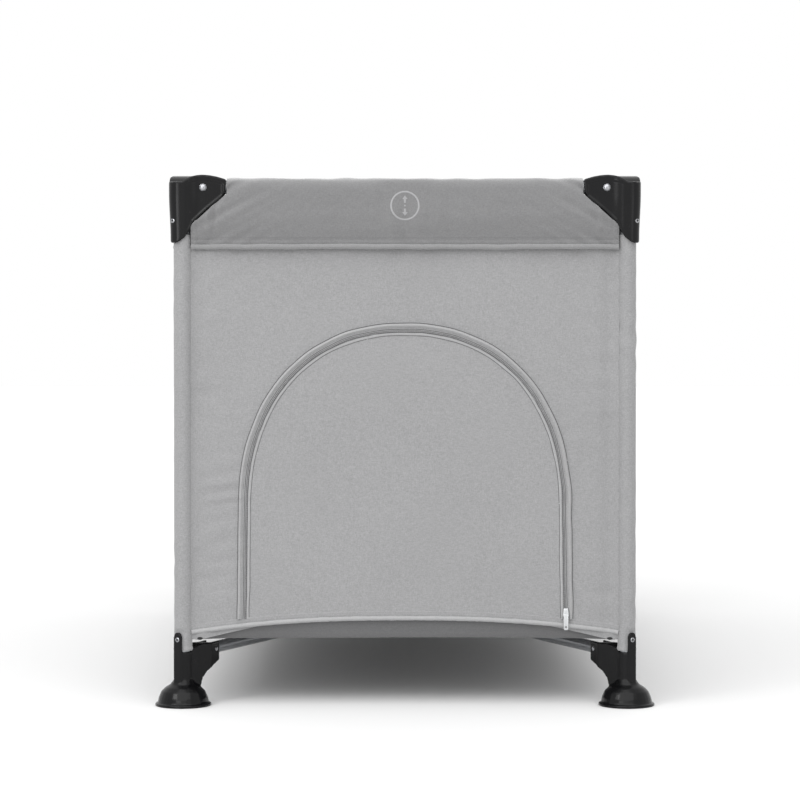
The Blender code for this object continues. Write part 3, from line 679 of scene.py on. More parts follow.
@dataclass(frozen=True)
class WebbingStrap:
    """Ribbed webbing or zip tape: ribs across the strap by its own texture map."""

    name: str
    colour: Colour
    rib: float = 0.0016

    def material(self) -> bpy.types.Material:
        """Make the webbing's material.

        Returns:
            The material.
        """
        material, graph, shader, where = start_material(self.name)
        place = graph.add("ShaderNodeSeparateXYZ", Vector=graph.add(
            "ShaderNodeUVMap", {"uv_map": "metres"}).outputs[0])
        ribs = graph.math("SINE", graph.math("MULTIPLY", place.outputs[0], 2 * math.pi / self.rib))
        fuzz = graph.noise(where, 800.0)
        share = graph.math("MULTIPLY_ADD", ribs, 0.25, graph.math("MULTIPLY", fuzz, 0.9))
        light = tuple(min(1.0, part * 1.7 + 0.01) for part in self.colour)
        graph.feed(shader, "Base Color", graph.blend(share, self.colour, light))
        shader.inputs["Roughness"].default_value = 0.8
        add_bump(graph, shader, graph.math("ADD", ribs, fuzz), 0.5, 0.0004)
        return material


class Finishes:
    """Every material of the pen, made once."""

    def __init__(self) -> None:
        """Make all the materials."""
        self.wall = HeatherCloth("wall_heather", (0.302, 0.302, 0.305), (0.168, 0.168, 0.171)).material()
        self.flap = HeatherCloth("zip_flap_heather", (0.34, 0.34, 0.343), (0.23, 0.23, 0.233)).material()
        # Near-black cloth for the thin lines along the zip: stitch thread, plus painted shade in the grooves
        # and gaps between the flap's ribs and edges.
        self.seam = HeatherCloth("seam_shadow_thread", (0.085, 0.085, 0.087), (0.05, 0.05, 0.052)).material()
        self.band = HeatherCloth("hem_heather", (0.29, 0.29, 0.293), (0.17, 0.17, 0.173),
                                 rows=(0.0070,), thread=(0.20, 0.20, 0.203)).material()
        self.piping = HeatherCloth("piping_heather", (0.35, 0.35, 0.353), (0.24, 0.24, 0.243)).material()
        self.cover = HeatherCloth("cover_heather", (0.188, 0.188, 0.190), (0.105, 0.105, 0.107), sheen=0.9,
                                  rows=(0.0125,), thread=(0.13, 0.13, 0.132)).material()
        # Lighter copy of the cover cloth for the rolled lower edges: painted light, as if they were lit on
        # their upward faces.
        self.cover_roll = HeatherCloth("cover_piping_heather", (0.235, 0.235, 0.237),
                                       (0.145, 0.145, 0.147), sheen=0.6).material()
        # Floor cloth: the walls' grey cloth darkened as painted shade, the shadow under the hems put into its
        # colour.
        self.floor = HeatherCloth("floor_cloth", (0.13, 0.13, 0.132), (0.08, 0.08, 0.082)).material()
        self.mattress = HeatherCloth("mattress_heather", (0.38, 0.38, 0.385), (0.27, 0.27, 0.275)).material()
        self.net = NetCloth("side_net", (0.16, 0.16, 0.165)).material()
        self.tape = WebbingStrap("zip_tape", (0.17, 0.17, 0.172), rib=0.0015).material()
        self.strap = WebbingStrap("strap_webbing", (0.03, 0.03, 0.032)).material()
        self.plastic = GrainedSkin("black_plastic_gloss", (0.004, 0.004, 0.0044), 0.17, shine=0.22).material()
        self.foot = GrainedSkin("foot_plastic", (0.003, 0.003, 0.0034), 0.16, grain=0.15,
                                shine=0.20).material()
        self.sleeve = GrainedSkin("sleeve_plastic", (0.008, 0.008, 0.0085), 0.32, grain=0.2,
                                  shine=0.3).material()
        self.leg = GrainedSkin("leg_powder_coat", (0.33, 0.34, 0.35), 0.38, metallic=0.6,
                               grain=0.3).material()
        self.bar = GrainedSkin("bar_zinc", (0.42, 0.43, 0.45), 0.28, metallic=0.9, grain=0.1).material()
        self.chrome = GrainedSkin("chrome", (0.36, 0.365, 0.38), 0.20, metallic=1.0, change=0.06,
                                  grain=0.02).material()
        self.zip = GrainedSkin("zip_grey", (0.15, 0.15, 0.153), 0.35, grain=0.1).material()
        self.nickel = GrainedSkin("zip_nickel", (0.55, 0.56, 0.57), 0.22, metallic=0.9, grain=0.1).material()
        self.mark = GrainedSkin("mark_silver", (0.26, 0.26, 0.265), 0.45, grain=0.1).material()


# ---------------------------------------------------------------- own meshes, flat sizes and areas of soft pieces

def squash_side(item: bpy.types.Object, side: Side) -> bpy.types.Object:
    """Give a piece of a wall its own copy of its mesh.

    Args:
        item: finished piece of the wall.
        side: side that the wall closes.

    Returns:
        The same piece.
    """
    half = PLAN.half(side)
    anchor = PLAN.place(side, np.array(-half), np.array(0.0), np.array(0.0))
    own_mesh(item)
    return item


def cut_size(points: Array) -> tuple[float, float]:
    """Size a grid of cloth lies at when flat: its longest run along each of its two ways.

    Args:
        points: grid of points of the sheet's middle face.

    Returns:
        Width and length.
    """
    width, length = (np.linalg.norm(np.diff(points, axis=way), axis=-1).sum(axis=way).max() for way in (0, 1))
    return float(width), float(length)


def declare_sheet(item: bpy.types.Object, width: float, length: float, area: float, held: str,
                  rests_on: Sequence[str]) -> None:
    """Work out a sheet's area, at most its flat width times length; the result is not kept."""
    area = min(area, width * length)


# ---------------------------------------------------------------- fabric walls

@dataclass(frozen=True)
class WallEdge:
    """Lower edge of a fabric wall: it arches up from the legs to the middle."""

    low: float = 0.105
    rise: float = 0.0205
    power: float = 2.4
    leg_gap: float = 0.0116

    def half(self, side: Side) -> float:
        """Half the width of a side's wall."""
        return PLAN.half(side) - self.leg_gap

    def height(self, side: Side, along: Array) -> Array:
        """Height of the edge: low plus rise times one less the share of the half width to a power."""
        share = np.clip(np.abs(along) / self.half(side), 0.0, 1.0)
        return self.low + self.rise * (1.0 - share ** self.power)


EDGE = WallEdge()


@dataclass(frozen=True)
class DoorArch:
    """Outline of the zip door: straight sides and a superellipse arch."""

    half_width: float = 0.2285
    centre: float = 0.280
    rise: float = 0.256
    power: float = 2.2
    flare: float = 0.002
    band: float = 0.008

    def top(self, along: Array) -> Array:
        """Height of the arch over a point: centre plus rise times the superellipse's share."""
        share = np.clip(np.abs(along) / self.half_width, 0.0, 1.0)
        return self.centre + self.rise * (1.0 - share ** self.power) ** (1.0 / self.power)

    def foot(self, along: Array) -> Array:
        """Height of the door's lower edge."""
        return EDGE.height(Side.FRONT, along) + self.band

    def path(self, straight: int, arch: int, grow: float = 0.0) -> Array:
        """Outline from the lower right up, over and down to the lower left.

        Args:
            straight: points on each straight side.
            arch: points on the arch.
            grow: distance by which the outline is made larger.

        Returns:
            (along, height) points.
        """
        wide = self.half_width + grow
        base = float(self.foot(np.array(wide)))
        climb = unit_steps(straight)[:-1]
        side_z = base + (self.centre - base) * climb
        side_x = wide + self.flare * (1.0 - climb)
        turn = math.pi * unit_steps(arch)
        # even steps of angle bunch up where the sine is flat, so the angle is eased at both ends
        ease = turn - 0.28 * np.sin(2 * turn) / 2
        power = 2.0 / self.power
        arch_x = wide * np.sign(np.cos(ease)) * np.abs(np.cos(ease)) ** power
        arch_z = self.centre + (self.rise + grow) * np.abs(np.sin(ease)) ** power
        right = np.stack([side_x, side_z], axis=1)
        left = np.stack([-side_x[::-1], side_z[::-1]], axis=1)
        return np.concatenate([right, np.stack([arch_x, arch_z], axis=1), left])


ARCH = DoorArch()


def outward_of(side: Side) -> Callable[[Array], Array]:
    """Directions out of a side, for turning faces."""
    _, (ox, oy), _ = side.value
    return lambda centres: np.broadcast_to(np.array([ox, oy, 0.0]), centres.shape)


@dataclass
class FabricWall:
    """One fabric wall, with its puckers, hem band and bottom piping."""

    side: Side
    face: float = 0.0050
    thickness: float = 0.0018
    top: float = 0.683
    pucker: float = 0.0013
    pieces: list[bpy.types.Object] = field(default_factory=list)

    def relief(self, along: Array, up: Array) -> Array:
        """How far the cloth stands out from flat.

        Broad waves, sideways puckers that fade away from the legs, upright puckers that fade away
        from the lower edge, slanting pulls from the upper corners, a row of puckers between the
        first leg and the doorway, and a hollow beside each leg where the cloth leaves the sleeve.
        """
        half = EDGE.half(self.side)
        seed = 11 + list(Side).index(self.side) * 7
        inset = half - np.abs(along)
        rise = up - EDGE.height(self.side, along)
        broad = 0.8 * ripple(along / 0.26, up / 0.30, seed)
        near_leg = np.exp(-inset / 0.045) * (0.5 + 0.5 * ripple(along * 0 + 0.3, up / 0.16, seed + 1))
        leg_fold = near_leg * ripple(along / 0.22, up / 0.030, seed + 2)
        near_hem = np.exp(-np.maximum(rise, 0.0) / 0.022)
        hem_fold = near_hem * ripple(along / 0.034, up / 0.25, seed + 3)
        corner = np.exp(-((inset / 0.10) ** 2 + ((self.top - up) / 0.13) ** 2))
        pull = corner * np.sin((inset * 0.75 + (self.top - up)) * 2 * math.pi / 0.046)
        relief = broad * 0.45 + leg_fold * 1.2 + hem_fold * 0.55 + pull * 0.7
        held = smooth_step(0.0, 0.012, inset) * smooth_step(-0.002, 0.010, rise)
        row = smooth_step(0.105, 0.16, up) * (1 - smooth_step(0.30, 0.42, up)) * (along < 0)
        row = row * smooth_step(0.006, 0.028, inset) * (1 - smooth_step(0.050, 0.100, inset))
        row_fold = row * (0.45 + 0.55 * ripple(along * 0, up / 0.09, seed + 5) ** 2) * np.sin(
            2 * math.pi * (up - 0.16 * inset) / 0.0235 + 1.6 * ripple(along * 0, up / 0.07, seed + 6))
        beside = 0.0014 * np.exp(-(inset / 0.0030) ** 2) - 0.0030 * np.exp(-((inset - 0.013) / 0.012) ** 2)
        return self.pucker * (relief * (0.25 + 0.75 * held) + row_fold * 1.0) + beside

    def surface(self, along: Array, up: Array, lift: float = 0.0) -> Array:
        """World points of the wall's outer face, lifted outwards by lift."""
        return PLAN.place(self.side, along, self.face + lift + self.relief(along, up), up)

    def keep(self, item: bpy.types.Object, material: bpy.types.Material, body: str | None = None,
             slot: str = "grey_fabric") -> bpy.types.Object:
        """Dress a piece of the wall, let it ride on its body, give it its own mesh, and remember it."""
        dress(item, material)
        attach(item, body or self.side.wall_body)
        squash_side(item, self.side)
        self.pieces.append(item)
        LOG.info("made %s", item.name)
        return item

    def hem(self, finishes: Finishes) -> None:
        """Make the hem band and the piping along the wall's lower edge."""
        half = EDGE.half(self.side)
        along = half * (2 * unit_steps(241 if half > 0.4 else 161) - 1)
        up = unit_steps(7) * 0.0098
        flat_along, rise = np.meshgrid(along, up, indexing="ij")
        height = EDGE.height(self.side, flat_along) + rise
        lift = 0.0012 * np.sin(np.pi * np.clip(rise / 0.0098, 0, 1)) ** 0.5
        lift = lift + 0.00035 * ripple(flat_along / 0.021, rise / 0.02, 71)
        band = grid_object(f"hem_band_{self.side.label}", self.surface(flat_along, height, lift),
                           np.stack([flat_along, rise], axis=-1), outward=outward_of(self.side))
        thicken(band, 0.0012)
        self.keep(band, finishes.band)
        wobble = 0.00035 * ripple(along / 0.019, along * 0, 73)
        path = PLAN.place(self.side, along, self.face - 0.0002 + self.relief(along, EDGE.height(
            self.side, along)) + wobble, EDGE.height(self.side, along) - 0.0008)
        piping = cord_object(f"hem_piping_{self.side.label}", path,
                             0.0034 + 0.0002 * ripple(along / 0.013, along * 0, 74), 14)
        self.keep(piping, finishes.piping)

    def gussets(self, finishes: Finishes) -> None:
        """Make the narrow wedge of cloth below the hem next to each leg, with its eyelet."""
        half = EDGE.half(self.side)
        for number, sign in enumerate((-1.0, 1.0)):
            inset, share = np.meshgrid(unit_steps(60) * 0.112, unit_steps(9), indexing="ij")
            depth = 0.0135 * (1 - (inset / 0.116)) ** 0.8 * smooth_step(-0.016, 0.012, inset)
            along = sign * (half - inset)
            up = EDGE.height(self.side, along) - 0.001 - depth * share
            out = 0.0038 - 0.0006 * share
            world = PLAN.place(self.side, along, out, up)
            wedge = grid_object(f"hem_gusset_{self.side.label}_{number}", world,
                                np.stack([along, up], axis=-1), outward=outward_of(self.side))
            thicken(wedge, 0.0010)
            self.keep(wedge, finishes.band)
            turn, ring = np.meshgrid(2 * math.pi * np.arange(28) / 28, unit_steps(5), indexing="ij")
            at, height = sign * (half - 0.0125), 0.0955
            hole = PLAN.place(self.side, at + 0.0042 * ring * np.cos(turn), 0.0044 - 0.0012 * ring ** 4,
                              height + 0.0021 * ring * np.sin(turn))
            eyelet = grid_object(f"gusset_eyelet_{self.side.label}_{number}", hole, closed_first=True,
                                 outward=outward_of(self.side))
            self.keep(eyelet, finishes.sleeve, slot="black_plastic")

    def binding(self, path: Array, name: str, material: bpy.types.Material) -> None:
        """Sew a flat binding tape over a looped path of (along, height) points."""
        tangent = np.roll(path, -1, axis=0) - np.roll(path, 1, axis=0)
        tangent = tangent / np.linalg.norm(tangent, axis=1, keepdims=True)
        normal = np.stack([-tangent[:, 1], tangent[:, 0]], axis=1)
        across = np.linspace(-0.007, 0.007, 9)
        points = path[:, None, :] + normal[:, None, :] * across[None, :, None]
        lift = 0.0016 * (1.0 - (across / 0.0075) ** 4)
        world = self.surface(points[..., 0], points[..., 1], lift[None, :] - 0.0002)
        steps = np.linalg.norm(np.diff(np.vstack([path, path[:1]]), axis=0), axis=1)
        run = np.concatenate([[0.0], np.cumsum(steps)[:-1]])
        uv = np.stack(np.broadcast_arrays(run[:, None], across[None, :]), axis=-1)
        tape = grid_object(name, world, uv, closed_first=True, outward=outward_of(self.side))
        thicken(tape, 0.0012)
        self.keep(tape, material)


@dataclass
class PlainWall(FabricWall):
    """Rear wall: one sheet of cloth."""

    def build(self, finishes: Finishes) -> None:
        """Make the sheet, its hem and its piping.

        Args:
            finishes: materials of the pen.
        """
        half = EDGE.half(self.side)
        along, share = np.meshgrid(half * (2 * unit_steps(181) - 1), unit_steps(161), indexing="ij")
        low = EDGE.height(self.side, along)
        up = low + (self.top - low) * share
        points = self.surface(along, up)
        sheet = grid_object(f"cloth_{self.side.label}", points, np.stack([along, up], axis=-1),
                            outward=outward_of(self.side))
        thicken(sheet, self.thickness)
        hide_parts(f"wall_{self.side.label}")
        self.keep(sheet, finishes.wall)
        declare_sheet(sheet, 2 * half, self.top - EDGE.low, grid_area(points), "stretched",
                      ["leg_rear_left", "leg_rear_right"])
        self.hem(finishes)
        self.gussets(finishes)


@dataclass
class NetWall(FabricWall):
    """Long side: a cloth border round a large net window."""

    border_end: float = 0.085
    border_low: float = 0.075
    border_high: float = 0.085
    corner_power: float = 7.0

    def window(self, count: int) -> tuple[Array, Array, Array]:
        """Loop of the window and the matching loop of the wall's outline.

        Args:
            count: points round the loop.

        Returns:
            Angles, window points and outline points, as (along, height). The window is a
            superellipse, and the outline is the rectangle cut by the same directions.
        """
        turn = 2 * math.pi * np.arange(count) / count
        turn = turn - 0.20 * np.sin(4 * turn) / 4
        half = EDGE.half(self.side)
        middle = (0.125 + self.border_low + self.top - self.border_high) / 2
        high = (self.top - self.border_high - 0.125 - self.border_low) / 2
        cosine, sine = np.cos(turn), np.sin(turn)
        scale = (np.abs(cosine) ** self.corner_power + np.abs(sine) ** self.corner_power)
        scale = scale ** (-1 / self.corner_power)
        inner = np.stack([(half - self.border_end) * cosine * scale, middle + high * sine * scale], axis=1)
        square = 1.0 / np.maximum(np.abs(cosine), np.abs(sine))
        outer_x = half * cosine * square
        up_share = sine * square
        edge = EDGE.height(self.side, outer_x)
        outer_z = np.where(up_share > 0, middle + (self.top - middle) * up_share,
                           middle + (middle - edge) * up_share)
        return turn, inner, np.stack([outer_x, outer_z], axis=1)

    def build(self, finishes: Finishes) -> None:
        """Make the border, the net, the binding, the hem and the piping.

        Args:
            finishes: materials of the pen.
        """
        half = EDGE.half(self.side)
        _, inner, outer = self.window(360)
        share = unit_steps(22)[None, :, None]
        loop = inner[:, None, :] * (1 - share) + outer[:, None, :] * share
        points = self.surface(loop[..., 0], loop[..., 1])
        border = grid_object(f"border_{self.side.label}", points, loop, closed_first=True,
                             outward=outward_of(self.side))
        area = grid_area(np.concatenate([points, points[:1]]))
        thicken(border, self.thickness)
        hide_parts(f"wall_{self.side.label}")
        self.keep(border, finishes.wall)
        declare_sheet(border, 2 * half, self.top - EDGE.low, area, "stretched",
                      [f"leg_front_{self.side.label}", f"leg_rear_{self.side.label}"])
        across = unit_steps(121)[None, :, None]
        top_half, low_half = inner[:181], np.concatenate([inner[:1], inner[:179:-1]])
        net_plan = top_half[:, None, :] * (1 - across) + low_half[:, None, :] * across
        sag = 0.0015 * ripple(net_plan[..., 0] / 0.5, net_plan[..., 1] / 0.4, 91)
        world = PLAN.place(self.side, net_plan[..., 0], self.face - 0.0012 + sag * 0.5, net_plan[..., 1])
        net = grid_object(f"net_{self.side.label}", world, net_plan, outward=outward_of(self.side))
        net_area = grid_area(world)
        self.keep(net, finishes.net, slot="mesh_fabric")
        high = float(inner[:, 1].max() - inner[:, 1].min())
        declare_sheet(net, 2 * (half - self.border_end), high, net_area, "stretched", [border.name])
        self.binding(inner[::2], f"net_binding_{self.side.label}", finishes.piping)
        self.hem(finishes)
        self.gussets(finishes)


@dataclass
class DoorWall(FabricWall):
    """Front wall with the arched doorway, its zip tape and flap, and the door itself."""

    straight: int = 26
    arch: int = 200

    def outline_pair(self) -> tuple[Array, Array]:
        """Doorway outline, and the wall's sides and top in the same order.

        Returns:
            Two lists of (along, height) points. The second is the first pushed out from the arch's
            centre to the wall's rectangle.
        """
        inner = ARCH.path(self.straight, self.arch, 0.0008)
        half = EDGE.half(self.side)
        rise = np.maximum(inner[:, 1] - ARCH.centre, 0.0) / (ARCH.rise + 0.0008)
        across = inner[:, 0] / (ARCH.half_width + 0.0008)
        square = 1.0 / np.maximum(np.maximum(np.abs(across), rise), 1e-6)
        outer_x = half * np.clip(across * square, -1.0, 1.0)
        outer_z = ARCH.centre + (self.top - ARCH.centre) * rise * square
        below = inner[:, 1] < ARCH.centre
        foot = ARCH.centre - inner[:, 1]
        depth = foot / foot.max() * (ARCH.centre - EDGE.low)
        outer_z = np.where(below, ARCH.centre - depth, outer_z)
        outer_x = np.where(below, np.sign(inner[:, 0]) * half, outer_x)
        return inner, np.stack([outer_x, outer_z], axis=1)

    def strip(self, name: str, low: float, high: float, lift: Callable[[Array], Array], count: int,
              material: bpy.types.Material, body: str, seed: int) -> bpy.types.Object:
        """Sew a strip along the arch.

        Args:
            name: object name.
            low: inner edge, in metres across from the arch.
            high: outer edge.
            lift: height of the strip over the wall, from metres across.
            count: points across.
            material: its material.
            body: body that it rides on.
            seed: seed of its small waves.

        Returns:
            The strip.
        """
        path = ARCH.path(self.straight, self.arch)
        tangent = np.gradient(path, axis=0)
        tangent = tangent / np.linalg.norm(tangent, axis=1, keepdims=True)
        normal = np.stack([tangent[:, 1], -tangent[:, 0]], axis=1)
        across = np.linspace(low, high, count)
        run = np.concatenate([[0.0], np.cumsum(np.linalg.norm(np.diff(path, axis=0), axis=1))])
        waver = 0.0004 * ripple(run / 0.05, run * 0, seed)
        points = path[:, None, :] + normal[:, None, :] * (across[None, :, None] + waver[:, None, None])
        wrinkle = 0.00025 * ripple(run[:, None] / 0.024, across[None, :] / 0.02, seed + 1)
        rise = lift(across)[None, :] + wrinkle
        world = self.surface(points[..., 0], points[..., 1], rise)
        uv = np.stack(np.broadcast_arrays(run[:, None], across[None, :]), axis=-1)
        item = grid_object(name, world, uv, outward=outward_of(self.side))
        thicken(item, 0.0010)
        return self.keep(item, material, body)

    def zip_teeth(self, finishes: Finishes) -> None:
        """Make the zip's coil: short teeth side by side along the arch, a few faces each."""
        path = ARCH.path(90, 620)
        run = np.concatenate([[0.0], np.cumsum(np.linalg.norm(np.diff(path, axis=0), axis=1))])
        pitch = 0.0032
        spots = np.arange(pitch, run[-1] - pitch, pitch)
        where = np.stack([np.interp(spots, run, path[:, 0]), np.interp(spots, run, path[:, 1])], axis=1)
        ahead = np.stack([np.interp(spots + 0.001, run, path[:, 0]),
                          np.interp(spots + 0.001, run, path[:, 1])], axis=1)
        tangent = (ahead - where) / np.linalg.norm(ahead - where, axis=1, keepdims=True)
        normal = np.stack([tangent[:, 1], -tangent[:, 0]], axis=1)
        along = np.array([-1, 1, 1, -1, -1, 1, 1, -1]) * 0.0011
        across = np.array([-1, -1, 1, 1, -0.7, -0.7, 0.7, 0.7]) * 0.0014 - 0.0037
        rise = np.array([0, 0, 0, 0, 1, 1, 1, 1]) * 0.0011
        plan = where[:, None, :] + tangent[:, None, :] * along[None, :, None] + (
            normal[:, None, :] * across[None, :, None])
        world = PLAN.place(self.side, plan[..., 0], self.face + self.relief(plan[..., 0], plan[..., 1])
                           + 0.0003 + rise[None, :], plan[..., 1])
        tooth = np.array([[0, 1, 2, 3], [7, 6, 5, 4], [0, 4, 5, 1], [1, 5, 6, 2], [2, 6, 7, 3], [3, 7, 4, 0]])
        faces = (np.arange(len(spots))[:, None, None] * 8 + tooth[None]).reshape(-1, 4)
        mesh = bpy.data.meshes.new("zip_teeth")
        mesh.from_pydata(world.reshape(-1, 3).tolist(), [], faces.tolist())
        teeth = bpy.data.objects.new("zip_teeth", mesh)
        bpy.context.scene.collection.objects.link(teeth)
        maker = bmesh.new()
        maker.from_mesh(mesh)
        bmesh.ops.recalc_face_normals(maker, faces=maker.faces)
        maker.to_mesh(mesh)
        maker.free()
        self.keep(teeth, finishes.zip, self.side.wall_body, slot="zip_plastic")

    def build(self, finishes: Finishes) -> None:
        """Make the wall, the door, the zip and the hem.

        Args:
            finishes: materials of the pen.
        """
        inner, outer = self.outline_pair()
        share = unit_steps(56)[None, :, None]
        plan = inner[:, None, :] * (1 - share) + outer[:, None, :] * share
        points = self.surface(plan[..., 0], plan[..., 1])
        wall = grid_object("cloth_front", points, plan, outward=outward_of(self.side))
        thicken(wall, self.thickness)
        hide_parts("wall_front")
        self.keep(wall, finishes.wall)
        declare_sheet(wall, 2 * EDGE.half(self.side), self.top - EDGE.low, grid_area(points), "stretched",
                      ["leg_front_left", "leg_front_right"])
        turn = np.pi * unit_steps(201)
        along, share = np.meshgrid(-ARCH.half_width * np.cos(turn) * 0.9985, unit_steps(141), indexing="ij")
        low = ARCH.foot(along)
        up = low + (ARCH.top(along) - 0.0008 - low) * share
        door_points = self.surface(along, up)
        door = grid_object("door_cloth", door_points, np.stack([along, up], axis=-1),
                           outward=outward_of(self.side))
        thicken(door, self.thickness)
        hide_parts("door")
        self.keep(door, finishes.wall, "door")
        declare_sheet(door, 2 * ARCH.half_width,
                      ARCH.centre + ARCH.rise - ARCH.foot(np.array(ARCH.half_width)),
                      grid_area(door_points), "hung", ["cloth_front"])
        self.strip("door_edge_tape", -0.0086, -0.0044,
                   lambda s: 0.0004 + 0.0009 * np.exp(-((s + 0.0066) / 0.0016) ** 2), 9, finishes.flap,
                   "door", 31)
        # dark line on the door's outer edge: stitch thread with painted shade of its groove
        self.strip("door_seam", -0.0093, -0.0085, lambda s: 0.0004 + 0.0 * s, 3, finishes.seam, "door", 31)

        def flap_lift(across: Array) -> Array:
            """Flap with a rolled outer edge, and three fine ribs on its inner part."""
            roll = 0.0034 * np.exp(-((across - 0.0056) / 0.0021) ** 2)
            ribs = 0.0004 * np.cos(2 * math.pi * (across + 0.0030) / 0.0019) * (across < 0.0028)
            return 0.0012 + roll + ribs

        self.strip("zip_flap", -0.0034, 0.0082, flap_lift, 40, finishes.flap, self.side.wall_body, 41)
        # dark lines along the flap: stitching, plus painted shade in the grooves between ribs and in the gap
        # by the door
        for number, (low, high) in enumerate(((0.0081, 0.0092), (0.0022, 0.0028), (-0.0002, 0.0003),
                                              (-0.0024, -0.0019), (-0.0044, -0.0034))):
            self.strip(f"flap_seam_{number}", low, high, lambda s, at=high: 0.0004 + 0.0012 * (at < 0.003)
                       + 0.0 * s, 3, finishes.seam, self.side.wall_body, 41)
        self.zip_teeth(finishes)
        self.hem(finishes)
        self.gussets(finishes)


@dataclass
class ZipPuller:
    """Zip slider and pull tab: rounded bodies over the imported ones."""

    def build(self, finishes: Finishes) -> None:
        """Dress the slider and the tab with rounded copies.

        Args:
            finishes: materials of the pen.
        """
        for node, width in (("zip_slider", 0.0009), ("zip_pull", 0.0004)):
            item = rounded_copy(node, f"{node}_body", width, 3)
            dress(item, finishes.nickel)
            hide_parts(node)
            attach(item, node)
            LOG.info("made %s", item.name)


def merged_copy(node: str, name: str) -> bpy.types.Object:
    """Copy of a CAD node's mesh with its triangles joined up."""
    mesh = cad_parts[node].data.copy()
    item = bpy.data.objects.new(name, mesh)
    bpy.context.scene.collection.objects.link(item)
    mesh.materials.clear()
    maker = bmesh.new()
    maker.from_mesh(mesh)
    bmesh.ops.remove_doubles(maker, verts=maker.verts, dist=2e-6)
    bmesh.ops.dissolve_limit(maker, angle_limit=math.radians(1.0), verts=maker.verts, edges=maker.edges)
    maker.to_mesh(mesh)
    maker.free()
    if "sharp_face" in mesh.attributes:
        mesh.attributes.remove(mesh.attributes["sharp_face"])
    return item


def rounded_copy(node: str, name: str, width: float, segments: int) -> bpy.types.Object:
    """Copy of a CAD node with bevelled edges."""
    item = merged_copy(node, name)
    bevel = item.modifiers.new("rounding", "BEVEL")
    bevel.width = width
    bevel.segments = segments
    bevel.limit_method = "ANGLE"
    bevel.angle_limit = math.radians(38)
    bake(item)
    item.data.shade_smooth()
    item.data.set_sharp_from_angle(angle=math.radians(50))
    return item


def moulded_copy(node: str, name: str, voxel: float, rounds: int) -> bpy.types.Object:
    """Copy of a CAD node with every edge and inner corner softened, as moulded plastic is.

    Args:
        node: CAD node.
        name: name of the copy.
        voxel: size of the remesh's cells.
        rounds: smoothing rounds; each moves a point halfway to its neighbours' mean.

    Returns:
        The softened copy.
    """
    item = merged_copy(node, name)
    remesh = item.modifiers.new("cells", "REMESH")
    remesh.mode = "VOXEL"
    remesh.voxel_size = voxel
    soften = item.modifiers.new("soften", "SMOOTH")
    soften.factor = 0.5
    soften.iterations = rounds
    bake(item)
    item.data.shade_smooth()
    return item


# ---------------------------------------------------------------- frame pieces

@dataclass
class LegSleeve:
    """Cloth sleeve round a leg, between the foot's tab and the corner cap."""

    corner: Corner
    radius: float = 0.0129
    low: float = 0.0785
    high: float = 0.6700
    tab_top: float = 0.107
    thickness: float = 0.0010

    def build(self, finishes: Finishes) -> None:
        """Make the sleeve: a cylinder with crosswise wrinkles and a rolled hem at its foot.

        Args:
            finishes: materials of the pen.
        """
        seed = 201 + list(Corner).index(self.corner) * 5
        up, turn = np.meshgrid(self.low + (self.high - self.low) * unit_steps(300),
                               2 * math.pi * np.arange(40) / 40, indexing="ij")
        ring_x, ring_y = np.cos(turn), np.sin(turn)
        wrinkle = ripple(up / 0.034 + 0.35 * ring_x, ring_y * 0.5 + ring_x * 0.3, seed)
        slack = 0.5 + 0.5 * ripple(up / 0.2, turn * 0, seed + 1)
        hem = 0.0012 * np.exp(-((up - self.low - 0.002) / 0.0022) ** 2)
        radius = self.radius + 0.00045 * wrinkle * slack + hem
        sign_x, sign_y = self.corner.value
        behind = smooth_step(0.62, 0.86, ring_x * sign_x * 0.5 + ring_y * sign_y * math.sqrt(0.75))
        behind = behind * (1 - smooth_step(self.tab_top - 0.002, self.tab_top + 0.004, up))
        radius = radius - behind * (radius - PLAN.leg_radius - 0.0001)
        x, y = PLAN.leg(self.corner)
        points = np.stack([x + radius * ring_x, y + radius * ring_y, up], axis=-1)
        uv = np.stack([up, turn * self.radius], axis=-1)
        sleeve = grid_object(f"leg_sleeve_{self.corner.label}", points, uv, closed_second=True,
                             outward=lambda centres: (centres - np.array([x, y, 0])) * np.array([1, 1, 0]))
        area = grid_area(np.concatenate([points, points[:, :1]], axis=1))
        thicken(sleeve, self.thickness)
        dress(sleeve, finishes.wall)
        body = f"leg_{self.corner.label}"
        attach(sleeve, body)
        declare_sheet(sleeve, 2 * math.pi * self.radius * 1.02, (self.high - self.low) * 1.01, area,
                      "stretched", [body])
        LOG.info("made %s", sleeve.name)


def screw_object(name: str, origin: Sequence[float], direction: Sequence[float], radius: float,
                 height: float) -> bpy.types.Object:
    """Round-headed screw with a cross recess.

    The head is a dome, height times (1 - share^2.4) of its radius, sunk where either plan
    coordinate lies within the recess's half width, out to six tenths of the radius.

    Args:
        name: object name.
        origin: centre of the seat under the head.
        direction: way that the head faces.
        radius: radius of the head.
        height: height of the dome.

    Returns:
        The screw head.
    """
    sides, rings = 64, 26
    share = np.concatenate([[0.0], unit_steps(rings)[1:]])
    turn = 2 * math.pi * np.arange(sides) / sides
    grid, angle = np.meshgrid(share, turn, indexing="ij")
    x, y = grid * radius * np.cos(angle), grid * radius * np.sin(angle)
    dome = height * (1 - grid ** 2.4)
    half = radius * 0.13
    near = np.minimum(np.abs(x), np.abs(y))
    far = np.maximum(np.abs(x), np.abs(y))
    slot = (1 - smooth_step(half, half * 1.8, near)) * (1 - smooth_step(radius * 0.5, radius * 0.66, far))
    dome = dome - slot * height * 0.75
    head = np.stack([x, y, dome], axis=-1)
    skirt = np.stack([radius * np.cos(turn), radius * np.sin(turn), turn * 0 - 0.0010], axis=-1)
    points = aim(np.concatenate([head, skirt[None]]), origin, direction)
    item = grid_object(name, points, closed_second=True)
    close_ends(item)
    return item


